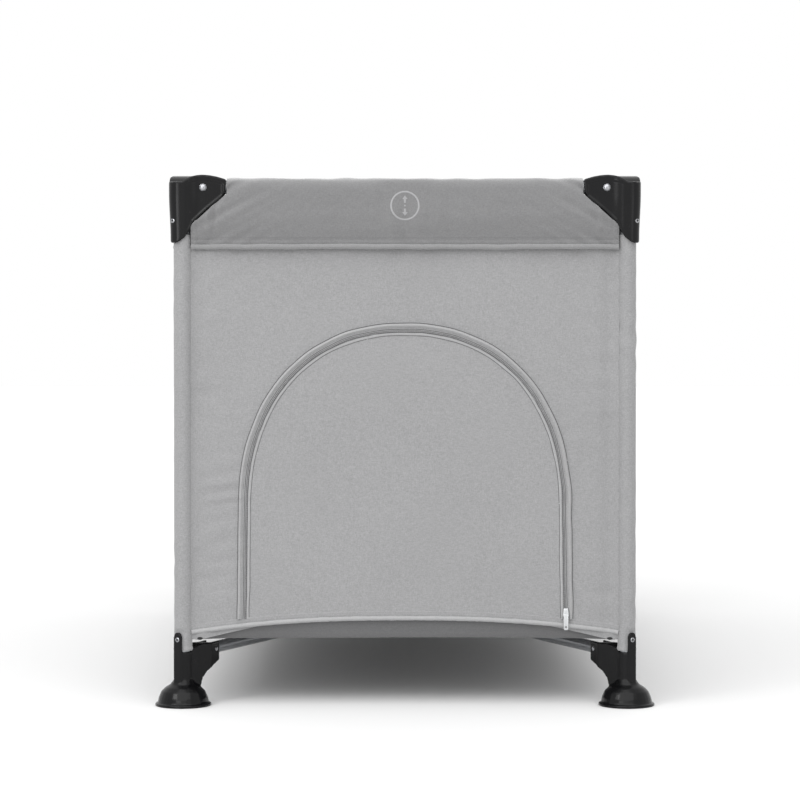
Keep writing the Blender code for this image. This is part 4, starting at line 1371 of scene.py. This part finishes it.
@dataclass
class CornerCap:
    """Moulded corner cap with its rail rivets and the screw on its outer edge."""

    corner: Corner
    screw_drop: float = 0.065
    screw_reach: float = 0.0186

    def build(self, finishes: Finishes) -> None:
        """Make the cap, its two rivets and its screw.

        Args:
            finishes: materials of the pen.
        """
        body = f"leg_{self.corner.label}"
        node = f"corner_{self.corner.label}"
        cap = moulded_copy(node, f"corner_cap_{self.corner.label}", 0.0011, 7)
        self.sculpt(cap)
        dress(cap, finishes.plastic)
        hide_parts(node)
        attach(cap, body)
        LOG.info("made %s", cap.name)
        sign_x, sign_y = self.corner.value
        x, y = PLAN.leg(self.corner)
        out = np.array([sign_x, sign_y, 0]) / math.sqrt(2)
        seat = np.array([x, y, PLAN.top - self.screw_drop]) + out * self.screw_reach
        screw = screw_object(f"cap_screw_{self.corner.label}", seat, out, 0.0040, 0.0015)
        dress(screw, finishes.chrome)
        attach(screw, body)
        front_rear, left_right = self.corner.label.split("_")
        for rivet_node in (f"rail_rivet_{front_rear}_{left_right}", f"rail_rivet_{left_right}_{front_rear}"):
            self.rivet(rivet_node, body, finishes)

    def sculpt(self, cap: bpy.types.Object) -> None:
        """Sink each wing's face below its rim, and flare the column outwards towards its top.

        The face sinks by 1 mm where it lies 8 to 11 mm below the wing's arched top. The column's
        outer faces move out by up to an eighth of their distance from the leg.

        Args:
            cap: softened copy of the CAD cap.
        """
        sign_x, sign_y = self.corner.value
        x, y = PLAN.leg(self.corner)
        points = np.array([vertex.co for vertex in cap.data.vertices])
        inward = np.stack([(x - points[:, 0]) * sign_x, (y - points[:, 1]) * sign_y], axis=1)
        near = (0.001, 0.006, 0.013, 0.021, 0.029, 0.039, 0.050, 0.062)
        drop = (0.0092, 0.0058, 0.0024, 0.0006, 0.0, 0.0007, 0.0028, 0.0064)
        low = (-0.004, 0.004, 0.0102, 0.015, 0.024, 0.0345, 0.046, 0.056, 0.0605, 0.062)
        low_drop = (0.0945, 0.0885, 0.079, 0.069, 0.0605, 0.051, 0.0415, 0.0335, 0.0255, 0.016)
        out = np.zeros_like(inward)
        height = points[:, 2]
        for axis in (0, 1):
            along, depth = inward[:, 1 - axis], -inward[:, axis]
            fall = PLAN.top - np.interp(along, near, drop) - height
            above = height - (PLAN.top - np.interp(along, low, low_drop))
            face = smooth_step(0.0135, 0.0160, depth) * smooth_step(0.004, 0.012, along)
            rim = smooth_step(0.0065, 0.0095, fall) * smooth_step(0.0035, 0.0065, above)
            rim = rim * (1 - smooth_step(0.0555, 0.0595, along))
            sink = -0.0011 * face * rim
            flare = 0.13 * smooth_step(PLAN.top - 0.090, PLAN.top - 0.025, height) * np.clip(depth, 0, 1)
            flare = flare * (1 - smooth_step(0.010, 0.024, along))
            out[:, axis] = sink + flare
        points[:, 0] += out[:, 0] * sign_x
        points[:, 1] += out[:, 1] * sign_y
        cap.data.vertices.foreach_set("co", points.ravel().astype(np.float32))
        cap.data.update()

    def rivet(self, node: str, body: str, finishes: Finishes) -> None:
        """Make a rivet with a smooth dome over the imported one.

        Args:
            node: rivet's CAD node.
            body: body it rides on.
            finishes: materials of the pen.
        """
        low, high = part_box(node)
        centre = (low + high) / 2
        axis = 0 if high.x - low.x > high.y - low.y else 1
        sign = 1.0 if centre[axis] > 0 else -1.0
        direction = np.eye(3)[axis] * sign
        half = (high[axis] - low[axis]) / 2
        turn = unit_steps(12) * math.pi / 2
        dome = [(0.0047 * math.sin(t), half - 0.0026 + 0.0026 * math.cos(t)) for t in turn]
        profile = [(0.00001, dome[0][1]), *dome[1:], (0.0050, half - 0.0027), (0.0050, half - 0.0031),
                   (0.0025, half - 0.0031), (0.0025, 0.0016 - half), (0.0040, 0.0015 - half),
                   (0.0028, 0.0001 - half), (0.00001, -half)]
        rivet = grid_object(f"{node}_dome", aim(turned_points(profile, 40), centre, direction),
                            closed_second=True)
        close_ends(rivet)
        dress(rivet, finishes.chrome)
        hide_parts(node)
        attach(rivet, body)


@dataclass
class DomedFoot:
    """Moulded foot with its tab screw."""

    corner: Corner
    screw_height: float = 0.0945
    tab_reach: float = 0.0149
    cheek: float = 0.0113

    def build(self, finishes: Finishes) -> None:
        """Make the foot and its screw.

        Args:
            finishes: materials of the pen.
        """
        body = f"leg_{self.corner.label}"
        node = f"foot_{self.corner.label}"
        foot = moulded_copy(node, f"domed_foot_{self.corner.label}", 0.0011, 6)
        dress(foot, finishes.foot)
        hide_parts(node)
        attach(foot, body)
        sign_x, sign_y = self.corner.value
        x, y = PLAN.leg(self.corner)
        out = np.array([sign_x * 0.5, sign_y * math.sqrt(0.75), 0])
        seats = [(np.array([x, y, self.screw_height]) + out * self.tab_reach, out, 0.0038)]
        unit = np.array([-sign_x * 0.256, -sign_y * 0.556, 0]) / math.hypot(0.256, 0.556)
        across = np.array([unit[1] * sign_x * sign_y, -unit[0] * sign_x * sign_y, 0])
        pivot = np.array([x - sign_x * 0.035, y - sign_y * 0.035, 0.0766])
        for face in (1.0, -1.0):
            seats.append((pivot + across * face * 0.0115, across * face, 0.0034))
            near = np.array([x, y, 0.0745]) + unit * 0.0135
            seats.append((near + across * face * self.cheek, across * face, 0.0030))
        for number, (seat, way, radius) in enumerate(seats):
            screw = screw_object(f"foot_screw_{self.corner.label}_{number}", seat, way, radius, 0.0013)
            dress(screw, finishes.chrome)
            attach(screw, body)
        LOG.info("made %s", foot.name)


@dataclass
class FloorBars:
    """Diagonal bars with their plastic sleeves, the hub and the strap."""

    sleeve_start: float = 0.236
    sleeve_length: float = 0.048
    sleeve_radius: float = 0.0106

    def bar_line(self, corner: Corner) -> tuple[Array, Array, float]:
        """Start, direction and radius of a bar, from its node's box.

        Args:
            corner: corner whose bar it is.

        Returns:
            Pivot at the foot, unit direction towards the hub, and the bar's radius.
        """
        low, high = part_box(f"floor_bar_{corner.label}")
        sign_x, sign_y = corner.value
        radius = (high.z - low.z) / 2
        span = np.array([0.256, 0.556])
        unit = span / np.linalg.norm(span)
        x, y = PLAN.leg(corner)
        start = np.array([x - sign_x * 0.035, y - sign_y * 0.035, (low.z + high.z) / 2])
        return start, np.array([-sign_x * unit[0], -sign_y * unit[1], 0.0]), radius

    def build(self, finishes: Finishes) -> None:
        """Make the sleeves, the hub and the strap, and dress the bars.

        Args:
            finishes: materials of the pen.
        """
        for corner in Corner:
            node = f"floor_bar_{corner.label}"
            dress_node(node, finishes.bar)
            start, unit, radius = self.bar_line(corner)
            share = unit_steps(49)
            path = start + unit * (self.sleeve_start + self.sleeve_length * share)[:, None]
            rim = np.exp(-((share - 0.05) / 0.03) ** 2) + np.exp(-((share - 0.95) / 0.03) ** 2)
            ribs = 0.35 * (np.sin(share * 2 * math.pi * 7) > 0) * (np.abs(share - 0.5) < 0.33)
            taper = np.minimum(1.0, np.minimum(share, 1 - share) / 0.03)
            profile = radius + 0.0004 + (self.sleeve_radius - radius) * (0.55 + 0.45 * rim + ribs) * taper
            sleeve = cord_object(f"bar_sleeve_{corner.label}", path, profile, 40)
            dress(sleeve, finishes.sleeve)
            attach(sleeve, node)
        hub = moulded_copy("floor_hub", "floor_hub_body", 0.0013, 5)
        dress(hub, finishes.foot)
        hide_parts("floor_hub")
        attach(hub, "floor_hub")
        low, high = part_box("fold_strap")
        share, across = np.meshgrid(unit_steps(81), unit_steps(13) * 2 - 1, indexing="ij")
        along = low.x + (high.x - low.x) * share
        edge = 1 - 0.18 * np.abs(across) ** 6
        rise = (high.z - low.z - 0.0004) * np.sin(math.pi * share) ** 2 * 0.77 + 0.0014 * edge
        points = np.stack([along, across * high.y, low.z + rise], axis=-1)
        uv = np.stack([along, across * high.y], axis=-1)
        strap = grid_object("fold_strap_web", points, uv, outward=lambda c: c * 0 + np.array([0, 0, 1.0]))
        thicken(strap, 0.0012)
        dress(strap, finishes.strap)
        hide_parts("fold_strap")
        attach(strap, "floor_hub")
        LOG.info("made floor bars, hub and strap")


def dress_node(node: str, material: bpy.types.Material) -> None:
    """Give a CAD node a better material."""
    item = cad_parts[node]
    for slot in item.material_slots:
        slot.material = material


# ---------------------------------------------------------------- padded rail covers

@dataclass
class RailCover:
    """Padded cover of a top rail: a skirted sleeve in three parts, tails under the caps, a mark."""

    side: Side
    depth: float = 0.0186
    crown: float = 0.019
    wing: float = 0.0635
    tail_end: float = 0.0125
    latch_half: float = 0.030
    thickness: float = 0.0016
    roll: float = 0.0036

    def __post_init__(self) -> None:
        """Read the cover's heights from its node."""
        low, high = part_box(f"rail_cover_{self.side.label}")
        self.low = low.z + self.roll
        self.top = high.z

    def relief(self, along: Array, up: Array, face: float) -> Array:
        """How far the padding stands out: pulls at both ends, creases over the latch, seam groove.

        Args:
            along: distances from the side's middle.
            up: heights.
            face: +1 on the outer face, -1 on the inner one.

        Returns:
            Distances out from the plain skirt.
        """
        seed = 301 + list(Side).index(self.side) * 9 + int(face > 0)
        end = PLAN.half(self.side) - np.abs(along)
        fall = self.top - up
        broad = 0.9 * ripple(along / 0.16, up / 0.09, seed)
        ends = np.exp(-((end - 0.055) / 0.075) ** 2)
        pulls = ends * ripple((end * 0.62 + fall) / 0.020, (end - fall) / 0.16, seed + 1)
        middle = np.exp(-(along / 0.085) ** 2) + 0.25 * ripple(along / 0.3, up * 0, seed + 4) ** 2
        creases = middle * ripple(along / 0.030, up / 0.20, seed + 2) * smooth_step(0.01, 0.05, fall)
        fine = 0.25 * ripple(along / 0.028, up / 0.020, seed + 3)
        seam = -1.3 * np.exp(-((up - self.low - 0.0100) / 0.0013) ** 2)
        # one deep fold hangs from each wing's tip and swings down towards the leg
        line = 0.037 + 0.031 * np.clip((up - self.low - 0.030) / 0.062, -0.6, 1.0) ** 3
        off = (end - line) / 0.0042
        deep = smooth_step(0.012, 0.040, up - self.low) * smooth_step(0.002, 0.018, fall)
        fold = deep * (2.3 * np.exp(-off ** 2) - 2.6 * np.exp(-(off - 2.1) ** 2))
        puff = 1.1 * smooth_step(0.004, 0.016, up - self.low - 0.010) * smooth_step(0.004, 0.03, fall)
        return 0.001 * (0.8 * broad + 1.5 * pulls + 1.1 * creases + fine + seam + puff + fold)

    def skirt_out(self, along: Array, up: Array) -> Array:
        """Plain distance of the skirt from the rail's line; it tucks in near the legs and below."""
        end = PLAN.half(self.side) - np.abs(along)
        tuck = 0.0062 * smooth_step(0.0, 1.0, (self.top - 0.050 - up) / (self.top - 0.050 - self.low))
        return self.depth - tuck - 0.0040 * (1 - smooth_step(self.tail_end, self.wing, end))

    def hood(self, first: float, last: float, columns: int) -> tuple[Array, Array]:
        """Surface of the cover between two places along the rail.

        Args:
            first: start along the rail.
            last: end along the rail.
            columns: points along.

        Returns:
            World points and texture coordinates. Across, the profile runs up the outer skirt, over
            a superellipse crown, and down the inner skirt.
        """
        along = np.linspace(first, last, columns)[:, None]
        climb = unit_steps(44)
        base = self.top - self.crown
        skirt_up = self.low + (base - self.low) * climb
        turn = math.pi * unit_steps(31)[None, 1:-1]
        # squarer over the latch, so its block stays inside
        power = 2 / (2.2 + 1.1 * np.exp(-(along / 0.040) ** 4))
        crown_out = np.sign(np.cos(turn)) * np.abs(np.cos(turn)) ** power
        crown_up = base + (self.top - 0.0012 - base) * np.sin(turn) ** power
        straight = np.broadcast_to(skirt_up, (columns, 44))
        up = np.concatenate([straight, crown_up, straight[:, ::-1]], axis=1)
        out = np.concatenate([straight * 0 + 1, crown_out, straight * 0 - 1], axis=1)
        waves = np.where(out > 0, self.relief(along, up, 1.0), self.relief(along, up, -1.0))
        dimple = 0.0007 * ripple(along / 0.05, out / 1.5, 333)
        share = np.abs(out)
        distance = out * self.skirt_out(along, up) + np.sign(out) * waves * share
        height = up + (1 - share) * dimple
        world = PLAN.place(self.side, along + 0 * distance, distance, height)
        run = np.where(out > 0, up - self.low, 0.4 - (up - self.low))
        uv = np.stack(np.broadcast_arrays(along, run), axis=-1)
        return world, uv

    def cap_edge(self, along: Array) -> Array:
        """Height of a corner cap's lower edge over a place beside a leg."""
        end = PLAN.half(self.side) - np.abs(along)
        wing_end, knee = PLAN.top - 0.0272, PLAN.top - 0.0686
        slanted = knee + (wing_end - knee) * (end - 0.015) / (0.062 - 0.015)
        steep = knee - (0.015 - end) * 1.5
        return np.where(end > 0.015, slanted, steep) - 0.0010

    def skirt_piping(self, first: float, last: float, face: float, name: str) -> bpy.types.Object:
        """Rolled lower edge of a skirt, from first to last along the rail."""
        along = np.linspace(first, last, max(12, int(abs(last - first) / 0.004)))
        level = along * 0 + self.low
        out = face * (self.skirt_out(along, level) + self.relief(along, level, face) + 0.0006)
        path = PLAN.place(self.side, along, out, level + 0.0004 * ripple(along / 0.06, along * 0, 55))
        return cord_object(name, path, self.roll + 0.0002 * ripple(along / 0.014, along * 0, 56), 14)

    def settle(self, name: str, sheet: bpy.types.Object, rolls: Sequence[bpy.types.Object], body: str,
               finishes: Finishes, squash: bool) -> bpy.types.Object:
        """Dress and join a part of the cover, let it ride on its body, and give it its own mesh where asked.

        Args:
            name: name of the part.
            sheet: its padded sheet.
            rolls: its rolled edges.
            body: body that it rides on.
            finishes: materials of the pen.
            squash: whether it gets its own copy of its mesh.

        Returns:
            The part.
        """
        dress(sheet, finishes.cover)
        for roll in rolls:
            # the roll's lighter cloth is painted light
            dress(roll, finishes.cover_roll)
        part = fuse(name, [sheet, *rolls])
        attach(part, body)
        if squash:
            self.crumple(part)
        LOG.info("made %s", name)
        return part

    def crumple(self, part: bpy.types.Object) -> None:
        """Give a part its own copy of its mesh."""
        anchor = PLAN.place(self.side, np.array(0.0), np.array(0.0), np.array(PLAN.rail_z))
        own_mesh(part)

    def build(self, finishes: Finishes) -> None:
        """Make the three parts of the hood, the four tails and the mark.

        Args:
            finishes: materials of the pen.
        """
        label, (_, _, ends) = self.side.label, self.side.value
        reach = PLAN.half(self.side) - self.wing
        stops = [(-reach, -self.latch_half, f"rail_{label}_{ends[0]}"),
                 (-self.latch_half, self.latch_half, f"latch_{label}"),
                 (self.latch_half, reach, f"rail_{label}_{ends[1]}")]
        for number, (first, last, body) in enumerate(stops):
            world, uv = self.hood(first, last, max(24, int((last - first) / 0.0026)))
            middle = PLAN.place(self.side, np.array(0.0), np.array(0.0), np.array(PLAN.rail_z - 0.03))
            along_axis = np.abs(np.array([*self.side.value[0], 0.0]))

            def outward(centres: Array) -> Array:
                """Away from the rail's line."""
                return (centres - middle) * (1 - along_axis)

            hood = grid_object("hood", world, uv, outward=outward)
            thicken(hood, self.thickness)
            rolls = [self.skirt_piping(first, last, face, "roll") for face in (1.0, -1.0)]
            part = self.settle(f"rail_cover_{label}_{('first', 'middle', 'second')[number]}", hood, rolls,
                               body, finishes, True)
        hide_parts(f"rail_cover_{label}")
        for end_index, sign in enumerate((-1.0, 1.0)):
            self.tails(sign, ends[end_index], finishes)
        self.mark(finishes)

    def tails(self, sign: float, end_name: str, finishes: Finishes) -> None:
        """Make the outer and inner tail that carry on below a corner cap.

        Args:
            sign: end of the side, -1 or +1.
            end_name: name of that end.
            finishes: materials of the pen.
        """
        label = self.side.label
        half = PLAN.half(self.side)
        first, last = sign * (half - self.wing), sign * (half - self.tail_end)
        body = ("leg_" + label + "_" + end_name) if label in ("front", "rear") else (
            "leg_" + end_name + "_" + label)
        _, (ox, oy), _ = self.side.value
        for face, word in ((1.0, "outer"), (-1.0, "inner")):
            along, climb = np.meshgrid(np.linspace(first, last, 34), unit_steps(34), indexing="ij")
            limit = np.minimum(self.cap_edge(along), self.top - self.crown)
            up = self.low + (limit - self.low) * climb
            edge = PLAN.half(self.side) - np.abs(along) - self.tail_end
            band = 0.0011 * (1 - smooth_step(0.0070, 0.0082, edge)) - 0.0008 * np.exp(
                -((edge - 0.0088) / 0.0008) ** 2)
            out = face * (self.skirt_out(along, up) + self.relief(along, up, face) + band)
            world = PLAN.place(self.side, along, out, up)
            sheet = grid_object("tail", world, np.stack([along, up - self.low], axis=-1),
                                outward=lambda c, f=face: c * 0 + f * np.array([ox, oy, 0.0]))
            thicken(sheet, self.thickness)
            roll = self.skirt_piping(first, last, face, "roll")
            self.settle(f"cover_tail_{label}_{end_name}_{word}", sheet, [roll], body, finishes, False)

    def mark(self, finishes: Finishes) -> None:
        """Make the printed mark over the latch button: a ring, two arrow heads and a dot.

        Args:
            finishes: materials of the pen.
        """
        height, ring, stroke = PLAN.rail_z - 0.026, 0.01965, 0.00135

        def on_cloth(along: Array, up: Array, lift: Array) -> Array:
            """World points of the print on the cover's outer face."""
            out = self.skirt_out(along, up) + self.relief(along, up, 1.0) + lift
            return PLAN.place(self.side, along, out, up)

        turn, across = np.meshgrid(2 * math.pi * np.arange(120) / 120, unit_steps(7) * 2 - 1, indexing="ij")
        radius = ring + across * stroke
        lift = 0.00055 * (1 - across ** 4) - 0.0001
        parts = [grid_object("ring", on_cloth(radius * np.cos(turn), height + radius * np.sin(turn), lift),
                             closed_first=True, outward=outward_of(self.side))]
        for sign in (1.0, -1.0):
            tall, wide = np.meshgrid(unit_steps(18), unit_steps(13) * 2 - 1, indexing="ij")
            width = np.where(tall < 0.5, 0.0016, 0.0042 * (1 - tall) / 0.5)
            lift = 0.0005 * (1 - wide ** 6) - 0.0001
            along, up = wide * width, height + sign * (0.0040 + 0.0105 * tall)
            parts.append(grid_object("arrow", on_cloth(along, up, lift), outward=outward_of(self.side)))
        share, angle = np.meshgrid(unit_steps(6), 2 * math.pi * np.arange(28) / 28, indexing="ij")
        lift = 0.0006 * (1 - share ** 4) - 0.0001
        size = 0.0014
        parts.append(grid_object("dot", on_cloth(size * share * np.cos(angle),
                                                 height + size * share * np.sin(angle), lift),
                                 closed_second=True, outward=outward_of(self.side)))
        for part in parts:
            dress(part, finishes.mark)
        mark = fuse(f"button_mark_{self.side.label}", parts, weld=1e-6)
        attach(mark, f"latch_{self.side.label}")
        self.crumple(mark)


# ---------------------------------------------------------------- floor and mattress

@dataclass
class FloorCloth:
    """Cloth floor in four quarters, each on its floor bar, with an eyelet at each corner."""

    thickness: float = 0.0012
    edge_out: float = 0.0008
    corner_in: float = 0.0075
    dip: float = 0.0034
    folded: float = 0.04

    def build(self, finishes: Finishes) -> None:
        """Make the quarters and the eyelets.

        Args:
            finishes: materials of the pen.
        """
        _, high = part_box("floor_fabric")
        quarters = [self.quarter(corner, high.z, finishes) for corner in Corner]
        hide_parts("floor_fabric")

    def quarter(self, corner: Corner, level: float, finishes: Finishes) -> bpy.types.Object:
        """Make one quarter: flat under the mattress, and turned up to the walls' lower edges.

        Args:
            corner: corner of the quarter.
            level: height of its upper face.
            finishes: materials of the pen.

        Returns:
            The quarter.
        """
        sign_x, sign_y = corner.value
        first, second = np.meshgrid(unit_steps(70), unit_steps(120), indexing="ij")
        first, second = 1 - (1 - first) ** 1.6, 1 - (1 - second) ** 1.8
        span_x, span_y = PLAN.half_x + self.edge_out, PLAN.half_y + self.edge_out
        near_x = smooth_step(span_x - 0.032, span_x - 0.012, first * span_x)
        near_y = smooth_step(span_y - 0.032, span_y - 0.012, second * span_y)
        x = first * (span_x - self.corner_in * near_y)
        y = second * (span_y - self.corner_in * near_x)
        slot = 0.017 * np.sqrt(np.clip(1 - (x / 0.046) ** 2, 0, 1))
        y = slot + y * (1 - slot / span_y)
        rise_x = smooth_step(0.3085, 0.3165, x) * (EDGE.height(Side.LEFT, y) - level - 0.001)
        rise_y = smooth_step(0.6085, 0.6165, y) * (EDGE.height(Side.FRONT, x) - level - 0.001)
        free = smooth_step(0.03, 0.10, np.hypot(x, y))
        leg_side = np.exp(-((span_x - x) / 0.09) ** 2) * np.exp(-((span_y - y) / 0.09) ** 2)
        lip = np.maximum(np.exp(-((span_x - 0.0052 - x) / 0.0035) ** 2), np.exp(
            -((span_y - 0.0052 - y) / 0.0035) ** 2))
        wave = 0.0006 * ripple(x / 0.15, y / 0.15, 401 + list(Corner).index(corner)) * free
        height = level + np.maximum(rise_x, rise_y) + np.minimum(wave, 0.0002) - self.dip * leg_side * lip
        points = np.stack([sign_x * x, sign_y * y, height], axis=-1)
        item = grid_object(f"floor_quarter_{corner.label}", points, points[..., :2],
                           outward=lambda c: c * 0 + np.array([0, 0, 1.0]))
        area = grid_area(points)
        thicken(item, self.thickness)
        # the floor's dark colour is painted shade of the space under the hems
        dress(item, finishes.floor)
        body = f"floor_bar_{corner.label}"
        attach(item, body)
        declare_sheet(item, *cut_size(points), area, "stretched", [body])
        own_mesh(item)
        turn = 2 * math.pi * np.arange(36) / 36
        eye_x, eye_y = sign_x * (PLAN.half_x - 0.024), sign_y * (PLAN.half_y - 0.026)
        path = np.stack([eye_x + 0.0055 * np.cos(turn), eye_y + 0.0055 * np.sin(turn),
                         level + 0.0003 + 0 * turn], axis=1)
        eyelet = cord_object(f"floor_eyelet_{corner.label}", path, 0.0015, 12, closed=True)
        dress(eyelet, finishes.chrome)
        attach(eyelet, body)
        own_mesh(eyelet)
        LOG.info("made %s", item.name)
        return item


@dataclass
class MattressPad:
    """Four hinged quilted pads, swollen by a cloth simulation."""

    shrink: float = 0.0032
    swell: float = 0.0045
    voxel: float = 0.006
    frames: int = 20

    def shape(self, low: Vector, high: Vector) -> bpy.types.Object:
        """Plain rounded slab, a little smaller than the pad's CAD solid."""
        slab = merged_copy("mattress_panel_1", "pad_shape")
        points = np.array([vertex.co for vertex in slab.data.vertices])
        centre = (np.array(low) + np.array(high)) / 2
        offset = points - centre
        size = (np.array(high) - np.array(low)) / 2
        points = centre + offset * (size - self.shrink) / size
        slab.data.vertices.foreach_set("co", points.ravel().astype(np.float32))
        remesh = slab.modifiers.new("cells", "REMESH")
        remesh.mode = "VOXEL"
        remesh.voxel_size = self.voxel
        return bake(slab)

    def simulate(self, slab: bpy.types.Object) -> None:
        """Swell the slab with cloth pressure and cap how far each point may move."""
        rest = np.array([vertex.co for vertex in slab.data.vertices])
        cloth = slab.modifiers.new("swell", "CLOTH")
        cloth.settings.use_pressure = True
        cloth.settings.uniform_pressure_force = 4.0
        cloth.settings.effector_weights.gravity = 0.0
        cloth.settings.quality = 5
        cloth.point_cache.frame_end = self.frames
        scene = bpy.context.scene
        for number in range(1, self.frames + 1):
            scene.frame_set(number)
        bake(slab)
        scene.frame_set(1)
        moved = np.array([vertex.co for vertex in slab.data.vertices]) - rest
        length = np.linalg.norm(moved, axis=1, keepdims=True)
        moved = moved * np.minimum(1.0, self.swell / np.maximum(length, 1e-9))
        slab.data.vertices.foreach_set("co", (rest + moved).ravel().astype(np.float32))

    def quilt(self, slab: bpy.types.Object, low: Vector, high: Vector) -> None:
        """Smooth the pad, then sink its stitched channels and a waist seam."""
        divide = slab.modifiers.new("divide", "SUBSURF")
        divide.levels = divide.render_levels = 1
        bake(slab)
        points = np.array([vertex.co for vertex in slab.data.vertices])
        middle = (low.z + high.z) / 2
        above = smooth_step(0.002, 0.006, np.abs(points[:, 2] - middle))
        pitch = (high.x - low.x) / 6
        phase = (points[:, 0] - low.x) / pitch
        near = np.abs(phase - np.round(phase)) * pitch
        channel = 0.0022 * np.exp(-(near / 0.0040) ** 2)
        points[:, 2] -= np.sign(points[:, 2] - middle) * channel * above
        slack = 0.0006 * ripple(points[:, 0] / 0.05, points[:, 1] / 0.05, 501)
        points[:, 2] += slack * above
        points[:, 2] = np.clip(points[:, 2], low.z + 0.0004, high.z + 0.0040)
        slab.data.vertices.foreach_set("co", points.ravel().astype(np.float32))
        slab.data.update()
        slab.data.shade_smooth()

    def build(self, finishes: Finishes) -> None:
        """Make the first pad, then a copy at each other pad's place.

        Args:
            finishes: materials of the pen.
        """
        low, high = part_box("mattress_panel_1")
        slab = self.shape(low, high)
        self.simulate(slab)
        self.quilt(slab, low, high)
        for number in range(1, 5):
            node = f"mattress_panel_{number}"
            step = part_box(node)[0].y - low.y
            mesh = slab.data.copy()
            points = np.array([vertex.co for vertex in mesh.vertices]) + np.array([0.0, step, 0.0])
            mesh.vertices.foreach_set("co", points.ravel().astype(np.float32))
            pad = bpy.data.objects.new(f"mattress_pad_{number}", mesh)
            bpy.context.scene.collection.objects.link(pad)
            dress(pad, finishes.mattress)
            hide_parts(node)
            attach(pad, node)
            LOG.info("made %s", pad.name)
        bpy.data.objects.remove(slab)


# ---------------------------------------------------------------- studio

@dataclass(frozen=True)
class Studio:
    """Pale floor, soft lights and the camera."""

    distance: float = 4.0
    height: float = 0.5775
    aside: float = -0.007
    lens: float = 126.5
    pitch: float = 1.06
    shift_y: float = -0.060

    def light(self, name: str, place: Sequence[float], target: Sequence[float], size: float,
              power: float) -> None:
        """Add a square area light that looks at a target."""
        data = bpy.data.lights.new(name, "AREA")
        data.shape = "SQUARE"
        data.size = size
        data.energy = power
        item = bpy.data.objects.new(name, data)
        item.location = place
        way = Vector(target) - Vector(place)
        item.rotation_euler = way.to_track_quat("-Z", "Y").to_euler()
        bpy.context.scene.collection.objects.link(item)

    def build(self) -> None:
        """Make the floor, the lights, the world and the camera."""
        scene = bpy.context.scene
        scene.view_settings.view_transform = "Standard"
        flat = np.stack(np.meshgrid(np.linspace(-14, 14, 3), np.linspace(-14, 14, 3), indexing="ij"), axis=-1)
        points = np.concatenate([flat, np.full(flat.shape[:2] + (1,), -0.0002)], axis=-1)
        ground = grid_object("studio_floor", points, outward=lambda c: c * 0 + np.array([0, 0, 1.0]))
        material, graph, shader, where = start_material("studio_floor_paint")
        tone = graph.blend(graph.noise(where, 0.7), (0.735, 0.735, 0.735), (0.745, 0.745, 0.745))
        graph.feed(shader, "Base Color", tone)
        shader.inputs["Roughness"].default_value = 0.85
        shader.inputs["Specular IOR Level"].default_value = 0.2
        dress(ground, material)
        world = bpy.data.worlds.new("studio_air")
        world.use_nodes = True
        world.node_tree.nodes["Background"].inputs[0].default_value = (1.0, 1.0, 1.0, 1.0)
        world.node_tree.nodes["Background"].inputs[1].default_value = 1.0
        scene.world = world
        soft = bpy.data.lights.new("overhead", "SUN")
        soft.energy = 1.95
        soft.angle = math.radians(75.0)
        item = bpy.data.objects.new("overhead", soft)
        item.rotation_euler = Vector((0.14, 0.85, -1.0)).to_track_quat("-Z", "Y").to_euler()
        scene.collection.objects.link(item)
        middle = (0.0, -0.6, 0.4)
        self.light("key", (-1.9, -2.6, 1.9), middle, 0.6, 10.0)
        self.light("low_left", (-1.7, -4.2, 0.55), middle, 1.1, 15.0)
        self.light("low_right", (1.8, -4.2, 0.55), middle, 1.1, 4.0)
        data = bpy.data.cameras.new("camera")
        data.lens = self.lens
        data.sensor_width = 36.0
        data.shift_y = self.shift_y
        data.clip_end = 100.0
        camera = bpy.data.objects.new("camera", data)
        camera.location = (self.aside, -PLAN.half_y - self.distance, self.height)
        camera.rotation_euler = (math.radians(90.0 - self.pitch), 0.0, 0.0)
        scene.collection.objects.link(camera)
        scene.camera = camera


def dress_hidden_frame(finishes: Finishes) -> None:
    """Give the tubes, latches and buttons that stay as they are their finishes.

    Args:
        finishes: materials of the pen.
    """
    for corner in Corner:
        dress_node(f"leg_{corner.label}", finishes.leg)
    for side in Side:
        for end_name in side.value[2]:
            dress_node(f"rail_{side.label}_{end_name}", finishes.leg)
        dress_node(f"latch_{side.label}", finishes.plastic)
        dress_node(f"latch_button_{side.label}", finishes.sleeve)


def main() -> None:
    """Build every sub-assembly in order."""
    logging.basicConfig(level=logging.INFO, format="%(message)s")
    finishes = Finishes()
    dress_hidden_frame(finishes)
    for corner in Corner:
        CornerCap(corner).build(finishes)
        DomedFoot(corner).build(finishes)
        LegSleeve(corner).build(finishes)
    FloorBars().build(finishes)
    DoorWall(Side.FRONT).build(finishes)
    PlainWall(Side.REAR).build(finishes)
    NetWall(Side.LEFT).build(finishes)
    NetWall(Side.RIGHT).build(finishes)
    ZipPuller().build(finishes)
    for side in Side:
        RailCover(side).build(finishes)
    FloorCloth().build(finishes)
    MattressPad().build(finishes)
    Studio().build()


if __name__ == "__main__":
    main()
